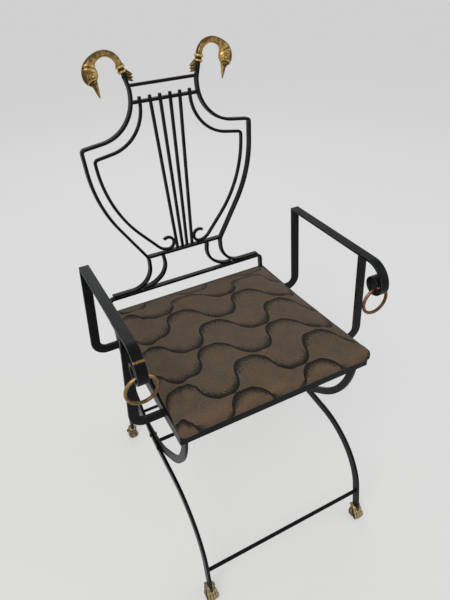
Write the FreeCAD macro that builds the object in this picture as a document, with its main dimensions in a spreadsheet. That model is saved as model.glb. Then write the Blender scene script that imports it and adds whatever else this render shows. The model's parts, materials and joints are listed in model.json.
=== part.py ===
import FreeCAD, Part
import math
import os
import Sketcher

# Lyre back armchair of flat iron bar with cast brass swans, lion paws and arm rings.
# Frame: +X to the sitter's left as seen from the front, +Y to the back, +Z up.
# Origin: on the floor, at the centre of the chair's outer box. All sizes in millimetres.

V = FreeCAD.Vector
doc = FreeCAD.newDocument("LyreChair")
sheet = doc.addObject("Spreadsheet::Sheet", "Sizes")

# Driving dimensions: name, value, meaning.
SIZES = [
    ("seat_half_front", 198, "half width of the seat frame at the front"),
    ("seat_half_rear", 195, "half width of the seat frame at the rear"),
    ("seat_reach", 193, "front and rear faces of the frame from the middle"),
    ("rail_base", 425, "underside of the seat rails"),
    ("rail_tall", 25, "height of the angle iron rails"),
    ("rail_flange", 25, "width of the flange that carries the board"),
    ("rail_wall", 3, "thickness of the angle iron"),
    ("board_thick", 10, "plywood seat board"),
    ("board_inset", 8, "board edge inside the frame, front and sides"),
    ("board_back", 171, "rear edge of the board behind the centre"),
    ("board_half_rear", 172, "half width of the board at the rear"),
    ("pad_half_front", 202, "half width of the cushion at the front"),
    ("pad_half_rear", 182, "half width of the cushion at the rear"),
    ("pad_front", 198, "front edge of the cushion, forward of the centre"),
    ("pad_back", 179, "rear edge of the cushion behind the centre"),
    ("pad_side", 26, "height of the cushion's side wall"),
    ("pad_crown", 11, "rise of the crown above the side wall"),
    ("pad_bow", 4, "how far each side draws in between its corners"),
    ("pad_corner", 16, "corner radius of the cushion"),
    ("soft_gap", 0.3, "clearance between the cushion and hard parts"),
    ("screw_inset", 13, "front seat screw from the outer face of the frame"),
    ("screw_inset_side", 20, "side seat screws from the outer face of the frame"),
    ("screw_shank", 4, "diameter of the screw shanks"),
    ("screw_head", 8, "diameter of the screw heads"),
    ("screw_dome", 2.5, "height of the screw heads"),
    ("screw_bite", 7, "depth of the screws in the board"),
    ("leg_wide", 15, "width of the leg bar, in the side plane"),
    ("leg_thick", 6, "thickness of the leg bar"),
    ("leg_plane", 185.5, "where the two leg bars of a side touch, from the middle"),
    ("foot_reach", 242.5, "foot forward of the pivot"),
    ("foot_tall", 12, "height of the leg bar's end inside the paw"),
    ("knee_reach", 212, "corner of the lower curve, forward of the pivot"),
    ("knee_tall", 207.5, "height of that corner"),
    ("knee_radius", 150, "bend of the lower curve"),
    ("cross_reach", 24, "corner at the crossing, behind the pivot"),
    ("cross_tall", 227, "height of that corner"),
    ("cross_radius", 150, "bend at the crossing"),
    ("hip_reach", 165, "corner of the upper curve from the pivot"),
    ("hip_tall", 326, "height of that corner"),
    ("hip_radius", 195, "bend of the upper curve"),
    ("hip_top", 176.5, "top of the leg bar from the pivot"),
    ("pivot_tall", 225.5, "height of the crossing and of the cross rod"),
    ("rod_wide", 8, "diameter of the cross rod and stretchers"),
    ("stretcher_reach", 232, "stretchers, from the middle, front and rear"),
    ("stretcher_tall", 78, "height of the stretchers"),
    ("rivet_reach", 20, "rivets in front of and behind the crossing"),
    ("rivet_tall", 227.5, "height of those rivets"),
    ("rivet_wide", 4, "diameter of the rivet shanks"),
    ("rivet_head", 9, "diameter of the rivet heads"),
    ("rivet_dome", 2.2, "height of the rivet heads"),
    ("paw_reach", 240, "ankle of each paw from the middle of the chair"),
    ("paw_wide", 28, "width of a lion paw at the toes"),
    ("paw_tall", 29, "height of a lion paw at the ankle"),
    ("paw_toe", 17, "toe tip beyond the ankle"),
    ("paw_heel", 15, "heel behind the ankle"),
    ("arm_middle", 236, "middle of the arm bar from the middle of the chair"),
    ("arm_wide", 19, "width of the arm bars and posts"),
    ("arm_thick", 5, "thickness of the arm bars and posts"),
    ("arm_top", 620, "top face of the arm above the floor"),
    ("arm_back", 127, "rear end of the arm behind the centre"),
    ("arm_straight", 127, "front end of the arm's straight run"),
    ("arm_bend", 41.5, "radius of the arm's front curve"),
    ("scroll_outer", 18, "radius of the scroll's trough"),
    ("scroll_inner", 13, "radius of the scroll's inner curl"),
    ("post_front", 101, "front post forward of the centre"),
    ("post_splay", 11, "how far the posts lean out at the bottom"),
    ("post_radius", 22, "bend at the bottom of the posts"),
    ("post_end", 177, "inner end of the post's foot from the middle"),
    ("ring_radius", 27, "mean radius of the arm ring"),
    ("ring_wire", 6, "thickness of the arm ring"),
    ("ring_gap", 0.3, "clearance between the ring and the scroll"),
    ("lean", 6.37, "backward lean of the back in degrees"),
    ("back_reach", 186.2, "back plane at the top of the rail, behind the centre"),
    ("bar_deep", 12, "depth of the flat bars of the back"),
    ("bar_thick", 6, "thickness of the flat bars and square rods of the back"),
    ("base_half", 186.5, "half width of the base bar"),
    ("base_rise", 34, "base bar above the seat rail, along the back"),
    ("base_radius", 8, "bend at the base bar's ends"),
    ("top_end_half", 78, "frame bar's top end from the middle"),
    ("top_end_rise", 480, "frame bar's top end above the rail"),
    ("neck_half", 68.3, "narrowest place of the frame from the middle"),
    ("neck_rise", 443, "height of that place"),
    ("neck_radius", 50, "bend there"),
    ("arch_rise", 364.3, "corner of the upper hollow curve above the rail"),
    ("arch_radius", 78, "bend of the upper hollow curve"),
    ("shoulder_half", 178.6, "shoulder corner from the middle"),
    ("shoulder_rise", 350, "height of the shoulder corner"),
    ("shoulder_radius", 7, "bend of the shoulder corners"),
    ("flank_half", 172.6, "corner of the flank curve"),
    ("flank_rise", 240.7, "height of that corner"),
    ("flank_radius", 266, "bend of the flank"),
    ("waist_half", 85.6, "waist corner from the middle"),
    ("waist_rise", 103.5, "height of the waist corner"),
    ("waist_radius", 20, "bend at the waist"),
    ("sweep_half", 86.3, "corner where the frame sweeps out to the base"),
    ("sweep_radius", 47, "bend there"),
    ("frame_end", 178, "end of the frame bar along the base bar"),
    ("lower_rise", 106.7, "lower crossbar above the rail"),
    ("string_bar_rise", 418.6, "string bar above the rail"),
    ("top_rise", 448.3, "top crossbar above the rail"),
    ("pin_rise", 427.6, "tops of the string pins above the rail"),
    ("inner_half", 51.7, "inner outline rod at the string bar"),
    ("inner_arch_rise", 344.1, "corner of the inner rod's hollow curve"),
    ("inner_arch_radius", 83, "bend of that curve"),
    ("inner_shoulder_half", 157.8, "inner shoulder corner"),
    ("inner_shoulder_rise", 327.2, "height of the inner shoulder"),
    ("inner_flank_half", 153.9, "corner of the inner flank curve"),
    ("inner_flank_rise", 228.4, "height of that corner"),
    ("inner_flank_radius", 252, "bend of the inner flank"),
    ("curl_entry_radius", 30, "bend where the inner rod turns into its curl"),
    ("curl_radius", 13, "radius of the curl"),
    ("curl_open", 48, "where the curl ends, in degrees above level"),
    ("foot_half_top", 53, "inner foot bar under the lower crossbar"),
    ("foot_half_low", 48, "corner of the inner foot bar"),
    ("foot_rise_low", 66, "height of that corner"),
    ("foot_radius", 40, "bend of the inner foot bar"),
    ("foot_half_land", 86, "where the inner foot bar lands on the base bar"),
    ("foot_land_radius", 58, "bend there"),
    ("foot_bar_end", 108, "end of the inner foot bar along the base bar"),
    ("string_low_inner", 5.3, "inner strings on the lower crossbar"),
    ("string_low_outer", 17.3, "outer strings on the lower crossbar"),
    ("string_high_inner", 10.5, "inner strings at their pins"),
    ("string_high_outer", 31, "outer strings at their pins"),
    ("swan_neck", 12, "thickness of the swan's neck"),
    ("swan_head", 29, "width of the swan's head, across the cheeks"),
    ("swan_cheek", 19, "thickness of the swan's head"),
    ("collar_wide", 18, "diameter of the two collars"),
    ("collar_tall", 4.5, "height of a collar"),
    ("leaf_reach", 22, "leaf tip from the bar"),
    ("leaf_drop", 28, "leaf tip below the upper collar"),
    ("leaf_wide", 9, "width of the leaf"),
]

for row, (name, value, meaning) in enumerate(SIZES, start=1):
    sheet.set("A%d" % row, name)
    sheet.set("B%d" % row, str(value))
    sheet.set("C%d" % row, meaning)
    sheet.setAlias("B%d" % row, name)
doc.recompute()


def size(name):
    """Value of a driving dimension."""
    return float(sheet.get(name))


def cell(name):
    """Reference to a driving dimension for an expression."""
    return "Sizes." + name


parts = []


def keep(item, label):
    """Name a sub-part and put it on the list of parts."""
    item.Label = label
    parts.append(item)
    return item


def solid(label, shape, placement=None):
    """Sub-part whose shape is worked out from the sheet."""
    item = doc.addObject("Part::Feature", label)
    item.Shape = shape
    if placement is not None:
        item.Placement = placement.multiply(shape.Placement)
    return keep(item, label)


# Sketch and body helpers.

def new_body(label):
    """Empty body for one sub-part."""
    return keep(doc.addObject("PartDesign::Body", label), label)


def origin_plane(body, role):
    """One of the body's own origin planes."""
    for feature in body.Origin.OriginFeatures:
        if feature.Role == role:
            return feature
    raise ValueError(role)


def polygon_sketch(body, name, role, corners, height=None):
    """Closed outline whose corners follow expressions on the sheet."""
    sketch = body.newObject("Sketcher::SketchObject", name)
    sketch.AttachmentSupport = [(origin_plane(body, role), "")]
    sketch.MapMode = "FlatFace"
    if height is not None:
        sketch.setExpression("AttachmentOffset.Base.z", height)
    count = len(corners)
    turns = [math.radians(360.0 * i / count + 200) for i in range(count)]
    guide = [V(100 * math.cos(a), 100 * math.sin(a), 0) for a in turns]
    for i in range(count):
        sketch.addGeometry(Part.LineSegment(guide[i], guide[(i + 1) % count]), False)
    for i in range(count):
        sketch.addConstraint(Sketcher.Constraint("Coincident", i, 2, (i + 1) % count, 1))
    for i, (across, up) in enumerate(corners):
        for kind, text, start in (("DistanceX", across, guide[i].x), ("DistanceY", up, guide[i].y)):
            index = sketch.addConstraint(Sketcher.Constraint(kind, -1, 1, i, 1, start))
            sketch.setExpression("Constraints[%d]" % index, text)
    return sketch


def pad(body, name, sketch, length, midplane=False, reverse=False):
    """Straight extrusion of a sketch."""
    feature = body.newObject("PartDesign::Pad", name)
    feature.Profile = sketch
    feature.setExpression("Length", length)
    feature.Midplane = midplane
    feature.Reversed = reverse
    sketch.Visibility = False
    body.Tip = feature
    return feature


# Bent bar helpers: a path is straight runs joined by tangent arcs.

def rounded_path(corners):
    """Edges through (a, b, radius) corners, each corner rounded by its radius."""
    points = [V(a, b, 0) for a, b, radius in corners]
    edges = []
    start = points[0]
    for i in range(1, len(points) - 1):
        before = (points[i - 1] - points[i]).normalize()
        after = (points[i + 1] - points[i]).normalize()
        half = before.getAngle(after) / 2
        reach = corners[i][2] / math.tan(half)
        first = points[i] + before * reach
        last = points[i] + after * reach
        inward = (before + after).normalize()
        middle = points[i] + inward * (corners[i][2] / math.sin(half) - corners[i][2])
        if (first - start).Length > 1e-6:
            edges.append(Part.LineSegment(start, first))
        edges.append(Part.Arc(first, middle, last))
        start = last
    if (points[-1] - start).Length > 1e-6:
        edges.append(Part.LineSegment(start, points[-1]))
    return edges


def arc_about(centre_a, centre_b, radius, start, end):
    """Arc about a centre from one angle to another, in degrees."""
    def at(angle):
        turn = math.radians(angle)
        return V(centre_a + radius * math.cos(turn), centre_b + radius * math.sin(turn), 0)
    return Part.Arc(at(start), at((start + end) / 2.0), at(end))


def bent_bar(path, thick, wide):
    """Flat bar along a path: thick in the path's plane, wide across it, in local XY."""
    spine = Part.Wire([edge.toShape() for edge in path])
    first = spine.Edges[0]
    begin = first.valueAt(first.FirstParameter)
    along = first.tangentAt(first.FirstParameter)
    side = V(-along.y, along.x, 0) * (thick / 2.0)
    up = V(0, 0, wide / 2.0)
    corners = [begin + side + up, begin - side + up, begin - side - up, begin + side - up]
    section = Part.makePolygon(corners + corners[:1])
    bar = spine.makePipeShell([section], True, False)
    if not bar.isValid() or bar.Volume < 0:
        bar = Part.Solid(bar)
    return bar


def mirrored(shape):
    """The same shape on the other side of the chair."""
    return shape.mirror(V(0, 0, 0), V(1, 0, 0))


# Local XY to the chair: side planes and the leaning back plane.
rail_top = size("rail_base") + size("rail_tall")
SIDE = FreeCAD.Placement(V(0, 0, 0), FreeCAD.Rotation(V(0, 1, 0), V(0, 0, 1), V(1, 0, 0), "ZXY"))
BACK = FreeCAD.Placement(
    V(0, size("back_reach"), rail_top),
    FreeCAD.Rotation(V(1, 0, 0), 90 - size("lean")),
)
SIDES = (("left", -1), ("right", 1))


# Seat frame of angle iron, mitred at its corners.

def frame_corner(inset):
    """Corner expressions of the frame's plan, moved in by an inset."""
    reach = "(%s - %s)" % (cell("seat_reach"), inset)
    half_front = "(%s - %s)" % (cell("seat_half_front"), inset)
    half_rear = "(%s - %s)" % (cell("seat_half_rear"), inset)
    return {
        "front_left": ("-1 * " + half_front, "-1 * " + reach),
        "front_right": (half_front, "-1 * " + reach),
        "rear_right": (half_rear, reach),
        "rear_left": ("-1 * " + half_rear, reach),
    }


def circle_sketch(body, name, height, place, wide):
    """Circle at a place of the plan, bound to the sheet."""
    sketch = body.newObject("Sketcher::SketchObject", name)
    sketch.AttachmentSupport = [(origin_plane(body, "XY_Plane"), "")]
    sketch.MapMode = "FlatFace"
    sketch.setExpression("AttachmentOffset.Base.z", height)
    sketch.addGeometry(Part.Circle(V(1, 1, 0), V(0, 0, 1), 2), False)
    index = sketch.addConstraint(Sketcher.Constraint("Radius", 0, 2))
    sketch.setExpression("Constraints[%d]" % index, wide + " / 2")
    for kind, text in zip(("DistanceX", "DistanceY"), place):
        index = sketch.addConstraint(Sketcher.Constraint(kind, -1, 1, 0, 3, 1))
        sketch.setExpression("Constraints[%d]" % index, text)
    return sketch


def blind_hole(body, name, height, place, wide, depth):
    """Round pocket that goes up from a height."""
    sketch = circle_sketch(body, name, height, place, wide)
    doc.recompute()
    before = body.Shape.Volume
    feature = body.newObject("PartDesign::Pocket", name + "_pocket")
    feature.Profile = sketch
    feature.setExpression("Length", depth)
    feature.Reversed = True
    sketch.Visibility = False
    body.Tip = feature
    doc.recompute()
    if body.Shape.Volume >= before - 1:
        raise ValueError(name)


rail_top_text = "%s + %s" % (cell("rail_base"), cell("rail_tall"))
side_screw = "(%s + %s) / 2 - %s" % (cell("seat_half_front"), cell("seat_half_rear"), cell("screw_inset_side"))
end_screw = "(%s - %s)" % (cell("seat_reach"), cell("screw_inset"))
SCREW_PLACES = {
    "front": ("0 * 1", "-1 * " + end_screw),
    "right": (side_screw, "0 * 1"),
    "left": ("-1 * (" + side_screw + ")", "0 * 1"),
}


def seat_rail(label, first, second, screw):
    """Angle iron: a wall and a flange between two corners, with the screw that holds the board."""
    body = new_body(label)
    outer = frame_corner("0")
    wall = frame_corner(cell("rail_wall"))
    flange = frame_corner(cell("rail_flange"))
    upright = [outer[first], outer[second], wall[second], wall[first]]
    sketch = polygon_sketch(body, label + "_wall", "XY_Plane", upright, cell("rail_base"))
    pad(body, label + "_wall_pad", sketch, cell("rail_tall"))
    level = [outer[first], outer[second], flange[second], flange[first]]
    height = rail_top_text + " - " + cell("rail_wall")
    sketch = polygon_sketch(body, label + "_flange", "XY_Plane", level, height)
    pad(body, label + "_flange_pad", sketch, cell("rail_wall"))
    if screw is None:
        return
    sketch = circle_sketch(body, label + "_head", height, SCREW_PLACES[screw], cell("screw_head"))
    pad(body, label + "_screw_head", sketch, cell("screw_dome"), reverse=True)
    sketch = circle_sketch(body, label + "_shank", rail_top_text, SCREW_PLACES[screw], cell("screw_shank"))
    pad(body, label + "_screw_shank", sketch, cell("screw_bite"))


seat_rail("seat_rail_front", "front_left", "front_right", "front")
seat_rail("seat_rail_right", "front_right", "rear_right", "right")
seat_rail("seat_rail_rear", "rear_right", "rear_left", None)
seat_rail("seat_rail_left", "rear_left", "front_left", "left")

# Plywood board that the cushion is built on, with its screw holes.
board = new_body("seat_board")
board_front = "(%s - %s)" % (cell("seat_reach"), cell("board_inset"))
board_half = "(%s - %s)" % (cell("seat_half_front"), cell("board_inset"))
board_plan = [
    ("-1 * " + board_half, "-1 * " + board_front),
    (board_half, "-1 * " + board_front),
    (cell("board_half_rear"), cell("board_back")),
    ("-1 * " + cell("board_half_rear"), cell("board_back")),
]
board_sketch = polygon_sketch(board, "board_plan", "XY_Plane", board_plan, rail_top_text)
pad(board, "board_pad", board_sketch, cell("board_thick"))
for name in ("front", "right", "left"):
    blind_hole(board, "board_hole_" + name, rail_top_text, SCREW_PLACES[name],
               cell("screw_shank"), cell("screw_bite"))


screw_under = size("rail_base") + size("rail_tall") - size("rail_wall")

# Cushion: crowned, with sides that draw in between its corners.

def cushion_outline(inset, height):
    """Plan of the cushion at one height: bowed sides and round corners."""
    front = -(size("pad_front") - inset)
    rear = size("pad_back") - inset
    half_front = size("pad_half_front") - inset
    half_rear = size("pad_half_rear") - inset
    radius = size("pad_corner")
    corners = [V(-half_front, front, 0), V(half_front, front, 0),
               V(half_rear, rear, 0), V(-half_rear, rear, 0)]
    middle = V(0, (front + rear) / 2.0, 0)
    ends = []
    for i, corner in enumerate(corners):
        before = (corners[i - 1] - corner).normalize()
        after = (corners[(i + 1) % 4] - corner).normalize()
        ends.append((corner + before * radius, corner + after * radius, corner))
    edges = []
    for i in range(4):
        first, last, corner = ends[i]
        chord = (first + last) * 0.5
        edges.append(Part.Arc(first, chord + (corner - chord) * 0.42, last))
        following = ends[(i + 1) % 4][0]
        centre = (last + following) * 0.5
        inward = (middle - centre).normalize()
        edges.append(Part.Arc(last, centre + inward * size("pad_bow"), following))
    wire = Part.Wire([edge.toShape() for edge in edges])
    wire.translate(V(0, 0, height))
    return wire


gap = size("soft_gap")
side_tall = size("pad_side")
crown = size("pad_crown")
# Inset and height of each outline, from the underside to the top of the crown.
CUSHION_LEVELS = [
    (3.0, 0.0),
    (0.0, 0.4 * side_tall),
    (1.5, 0.72 * side_tall),
    (5.0, 0.92 * side_tall),
    (13.0, side_tall + 0.1 * crown),
    (34.0, side_tall + 0.45 * crown),
    (70.0, side_tall + 0.8 * crown),
    (125.0, side_tall + crown),
]
outlines = [cushion_outline(inset, rail_top + gap + level) for inset, level in CUSHION_LEVELS]
cushion = Part.makeLoft(outlines, True, True)
front_x = size("seat_half_front") - size("board_inset") + gap
rear_x = size("board_half_rear") + gap
front_y = -(size("seat_reach") - size("board_inset")) - gap
rear_y = size("board_back") + gap
recess = [V(-front_x, front_y, 0), V(front_x, front_y, 0), V(rear_x, rear_y, 0), V(-rear_x, rear_y, 0)]
recess_solid = Part.Face(Part.makePolygon(recess + recess[:1])).extrude(V(0, 0, size("board_thick") + 2 * gap))
recess_solid.translate(V(0, 0, rail_top - gap))
solid("seat_cushion", cushion.cut(recess_solid))

# Legs: two S-shaped bars cross on each side, mirror images of each other.


def leg_bar(sense):
    """Side view of a leg bar in (depth, height), from its foot to the seat rail."""
    corners = [
        (-size("foot_reach"), size("foot_tall"), 0),
        (-size("knee_reach"), size("knee_tall"), size("knee_radius")),
        (size("cross_reach"), size("cross_tall"), size("cross_radius")),
        (size("hip_reach"), size("hip_tall"), size("hip_radius")),
        (size("hip_top"), rail_top, 0),
    ]
    path = rounded_path([(sense * a, b, radius) for a, b, radius in corners])
    bar = bent_bar(path, size("leg_wide"), size("leg_thick"))
    above = Part.makeBox(2000, 100, 100, V(-1000, screw_under, -50))
    bar = bar.cut(above)
    for side in (-1, 1):
        place = V(side * size("rivet_reach"), size("rivet_tall"), -50)
        bar = bar.cut(Part.makeCylinder(size("rivet_wide") / 2.0, 100, place))
    return bar


outer_bar = leg_bar(1)
inner_bar = leg_bar(-1)
half_thick = size("leg_thick") / 2.0


def riveted(bar, inward):
    """Outer bar with its two rivets, which pass through the inner bar as well."""
    reach = 1.5 * size("leg_thick")
    low, high = (-reach, half_thick) if inward < 0 else (-half_thick, reach)
    pieces = []
    for side in (-1, 1):
        place = (side * size("rivet_reach"), size("rivet_tall"))
        pieces.append(Part.makeCylinder(size("rivet_wide") / 2.0, high - low, V(*place, low)))
        for level, sense in ((high, 1), (low, -1)):
            pieces.append(Part.makeCone(size("rivet_head") / 2.0, size("rivet_head") / 3.6,
                                        size("rivet_dome"), V(*place, level), V(0, 0, sense)))
    return bar.fuse(pieces).removeSplitter()


legs = {}
for side, sense in SIDES:
    for name, bar, offset in (("outer", riveted(outer_bar, -sense), half_thick), ("inner", inner_bar, -half_thick)):
        place = FreeCAD.Placement(V(sense * (size("leg_plane") + offset), 0, 0), SIDE.Rotation)
        item = solid("leg_%s_%s" % (name, side), bar, place)
        legs[item.Label] = item


def cross_bar(label, half, along, tall):
    """Round rod across the chair, bound to the sheet."""
    rod = doc.addObject("Part::Cylinder", label)
    rod.Placement = FreeCAD.Placement(V(-1, 0, 0), FreeCAD.Rotation(V(0, 1, 0), 90))
    rod.setExpression("Radius", cell("rod_wide") + " / 2")
    rod.setExpression("Height", "2 * (%s)" % half)
    rod.setExpression("Placement.Base.x", "-1 * (%s)" % half)
    rod.setExpression("Placement.Base.y", along)
    rod.setExpression("Placement.Base.z", cell(tall))
    keep(rod, label)


inner_face = "%s - %s" % (cell("leg_plane"), cell("leg_thick"))
cross_bar("cross_rod", inner_face, "0 * 1", "pivot_tall")
cross_bar("stretcher_front", cell("leg_plane"), "-1 * " + cell("stretcher_reach"), "stretcher_tall")
cross_bar("stretcher_rear", inner_face, cell("stretcher_reach"), "stretcher_tall")


# Cast pieces are faceted: rings of points joined by flat facets.

def faceted(rings, closed=False):
    """Solid through rings of equal count; closed joins the last ring to the first."""
    count = len(rings[0])
    faces = []
    spans = list(zip(rings, rings[1:]))
    if closed:
        spans.append((rings[-1], rings[0]))
    for one, two in spans:
        for i in range(count):
            k = (i + 1) % count
            faces.append(Part.Face(Part.makePolygon([one[i], one[k], two[k], one[i]])))
            faces.append(Part.Face(Part.makePolygon([one[i], two[k], two[i], one[i]])))
    if not closed:
        for ring in (rings[0], rings[-1]):
            faces.append(Part.Face(Part.makePolygon(ring + ring[:1])))
    body = Part.Solid(Part.Shell(faces))
    if body.Volume < 0:
        body.reverse()
    return body.removeSplitter()


def oval(centre, first, second, half_first, half_second, count):
    """Points of an ellipse about a centre, on two directions."""
    turns = [2 * math.pi * (i + 0.5) / count for i in range(count)]
    return [centre + first * (half_first * math.cos(a)) + second * (half_second * math.sin(a)) for a in turns]


# Lion paws: ankle, heel and four toes, with a socket for the leg bar.

def block(half_across, half_along, middle, level, bevel):
    """Bevelled rectangle in a level plane; bevel is a share of the shorter half side."""
    cut = bevel * min(half_across, half_along)
    pairs = [(half_across, half_along - cut), (half_across - cut, half_along)]
    corners = [(a, b) for a, b in pairs] + [(-a, b) for a, b in reversed(pairs)]
    corners += [(-a, -b) for a, b in pairs] + [(a, -b) for a, b in reversed(pairs)]
    return [V(a, middle + b, level) for a, b in corners]


def paw_shape():
    """Paw pointing to -Y with its sole on the floor and its ankle over the origin."""
    wide = size("paw_wide")
    tall = size("paw_tall")
    heel = size("paw_heel")
    levels = [
        (0, 0.40 * wide, 0.86 * heel),
        (0.22 * tall, 0.43 * wide, 0.92 * heel),
        (0.5 * tall, 0.38 * wide, 0.80 * heel),
        (0.78 * tall, 0.34 * wide, 0.70 * heel),
        (tall, 0.38 * wide, 0.76 * heel),
    ]
    paw = faceted([block(across, along, 0.0, level, 0.5) for level, across, along in levels])
    lane = wide / 4.0
    half = lane * 0.46
    for i in range(4):
        middle = (i - 1.5) * lane
        toe = size("paw_toe") - abs(i - 1.5) * 1.8
        sections = []
        for along, tip, share in ((0.0, 0.55 * tall, 1.0), (-0.62 * toe, 0.45 * tall, 1.04),
                                  (-0.9 * toe, 0.30 * tall, 0.9), (-toe, 0.12 * tall, 0.6)):
            low = half * share
            points = [V(middle - low, along, 0), V(middle + low, along, 0),
                      V(middle + low, along, tip * 0.6), V(middle + low * 0.5, along, tip),
                      V(middle - low * 0.5, along, tip), V(middle - low, along, tip * 0.6)]
            sections.append(points)
        paw = paw.fuse(faceted(sections))
    return paw.removeSplitter()


paw = paw_shape()
for side, sense in SIDES:
    for end, turn, leg in (("front", 0, "outer"), ("rear", 180, "inner")):
        direction = -1 if end == "front" else 1
        offset = half_thick if leg == "outer" else -half_thick
        place = FreeCAD.Placement(V(sense * (size("leg_plane") + offset), direction * size("paw_reach"), 0),
                                  FreeCAD.Rotation(V(0, 0, 1), turn))
        bar = legs["leg_%s_%s" % (leg, side)].Shape.copy()
        bar.Placement = place.inverse().multiply(bar.Placement)
        solid("paw_%s_%s" % (end, side), paw.cut(bar), place)

# Arms: flat bar with a rolled scroll at the front, on two splayed posts.
arm_middle_z = size("arm_top") - size("arm_thick") / 2.0
bend_z = arm_middle_z - size("arm_bend")
front_most = size("arm_straight") + size("arm_bend")
trough_y = -(front_most - size("scroll_outer"))
curl_y = trough_y + size("scroll_outer") - size("scroll_inner")
start = V(size("arm_back"), arm_middle_z, 0)
bend_start = V(-size("arm_straight"), arm_middle_z, 0)
arm_path = [
    Part.LineSegment(start, bend_start),
    arc_about(-size("arm_straight"), bend_z, size("arm_bend"), 90, 180),
    arc_about(trough_y, bend_z, size("scroll_outer"), 180, 360),
    arc_about(curl_y, bend_z, size("scroll_inner"), 0, 180),
]
arm = bent_bar(arm_path, size("arm_thick"), size("arm_wide"))
for side, sense in SIDES:
    place = FreeCAD.Placement(V(sense * size("arm_middle"), 0, 0), SIDE.Rotation)
    solid("arm_" + side, arm, place)

post_low = size("rail_base") - size("arm_wide") / 2.0
post_path = rounded_path([
    (size("arm_middle"), size("arm_top"), 0),
    (size("arm_middle") + size("post_splay"), post_low, size("post_radius")),
    (size("post_end"), post_low, 0),
])
post = bent_bar(post_path, size("arm_wide"), size("arm_thick"))
post = post.cut(Part.makeBox(2000, 100, 100, V(-1000, size("arm_top") - size("arm_thick"), -50)))
UPRIGHT = FreeCAD.Rotation(V(1, 0, 0), 90)
rear_post_y = size("arm_back") - size("arm_thick") / 2.0
for side, sense in SIDES:
    shape = post if sense > 0 else mirrored(post)
    solid("post_front_" + side, shape, FreeCAD.Placement(V(0, -size("post_front"), 0), UPRIGHT))
    solid("post_rear_" + side, shape, FreeCAD.Placement(V(0, rear_post_y, 0), UPRIGHT))

# Rings: each hangs in the trough of its scroll and swings about the wire's top.
wire_half = size("ring_wire") / 2.0
inner_reach = size("ring_radius") - wire_half
trough_face = bend_z - size("scroll_outer") + size("arm_thick") / 2.0
ring_z = trough_face + size("ring_gap") - math.sqrt(inner_reach ** 2 - size("arm_wide") ** 2 / 4.0)
flats = wire_half / math.cos(math.pi / 8)
sections = []
for step in range(48):
    turn = math.radians(7.5 * (step + 0.5))
    outward = V(math.cos(turn), math.sin(turn), 0)
    centre = outward * (size("ring_radius") / math.cos(math.radians(3.75)))
    sections.append(oval(centre, outward, V(0, 0, 1), flats, flats, 8))
ring = faceted(sections, True)
for side, sense in SIDES:
    solid("ring_" + side, ring, FreeCAD.Placement(V(sense * size("arm_middle"), trough_y, ring_z), UPRIGHT))

# Back: every bar is drawn in (across, rise along the lean) and leaned as one.
thick = size("bar_thick")
deep = size("bar_deep")
frame_line = size("base_rise") + thick

base_bar = bent_bar(rounded_path([
    (-size("base_half"), -20, 0),
    (-size("base_half"), size("base_rise"), size("base_radius")),
    (size("base_half"), size("base_rise"), size("base_radius")),
    (size("base_half"), -20, 0),
]), thick, deep)
frame_bar = bent_bar(rounded_path([
    (size("top_end_half"), size("top_end_rise"), 0),
    (size("neck_half"), size("neck_rise"), size("neck_radius")),
    (size("neck_half"), size("arch_rise"), size("arch_radius")),
    (size("shoulder_half"), size("shoulder_rise"), size("shoulder_radius")),
    (size("flank_half"), size("flank_rise"), size("flank_radius")),
    (size("waist_half"), size("waist_rise"), size("waist_radius")),
    (size("sweep_half"), frame_line, size("sweep_radius")),
    (size("frame_end"), frame_line, 0),
]), thick, deep)
foot_bar = bent_bar(rounded_path([
    (size("foot_half_top"), size("lower_rise") - thick / 2.0, 0),
    (size("foot_half_low"), size("foot_rise_low"), size("foot_radius")),
    (size("foot_half_land"), frame_line, size("foot_land_radius")),
    (size("foot_bar_end"), frame_line, 0),
]), thick, deep)


def level_rod(rise, half, depth):
    """Straight horizontal bar of the back, centred."""
    return Part.makeBox(2 * half, thick, depth, V(-half, rise - thick / 2.0, -depth / 2.0))


def string_line(low, high):
    """Direction of a string from the lower crossbar to its pin."""
    lower = V(low, size("lower_rise") + thick / 2.0, 0)
    upper = V(high, size("pin_rise"), 0)
    return lower, upper


def string_bar(low, high):
    """Square rod from inside the lower crossbar to the top of its pin."""
    lower, upper = string_line(low, high)
    start = lower - (upper - lower).normalize() * 2
    return bent_bar([Part.LineSegment(start, upper)], thick, thick)


# The inner rod ends in a curl that rests on the lower crossbar and meets the outer string.
curl_rise = size("lower_rise") + thick + size("curl_radius")
low_end, high_end = string_line(size("string_low_outer"), size("string_high_outer"))
slope = (high_end - low_end).normalize()
reach = size("curl_radius") + thick
curl_half = low_end.x + (curl_rise - low_end.y) * slope.x / slope.y + reach / slope.y
curl_base = curl_rise - size("curl_radius")
flank = V(size("inner_flank_half"), size("inner_flank_rise"), 0)
entry_radius = size("curl_entry_radius")


def entry_corner():
    """Corner on the curl's base line so that the bend runs straight into the curl."""
    across = curl_half + 10
    for step in range(60):
        down = (V(across, curl_base, 0) - flank).normalize()
        turn = math.acos(-down.x)
        across = curl_half + entry_radius * math.tan(turn / 2.0)
    return across


inner_path = rounded_path([
    (size("inner_half"), size("pin_rise"), 0),
    (size("inner_half"), size("inner_arch_rise"), size("inner_arch_radius")),
    (size("inner_shoulder_half"), size("inner_shoulder_rise"), size("shoulder_radius")),
    (size("inner_flank_half"), size("inner_flank_rise"), size("inner_flank_radius")),
    (entry_corner(), curl_base, entry_radius),
    (curl_half, curl_base, 0),
])
inner_path.append(arc_about(curl_half, curl_rise, size("curl_radius"), 270, size("curl_open")))
inner_bar_right = bent_bar(inner_path, thick, thick)

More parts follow.
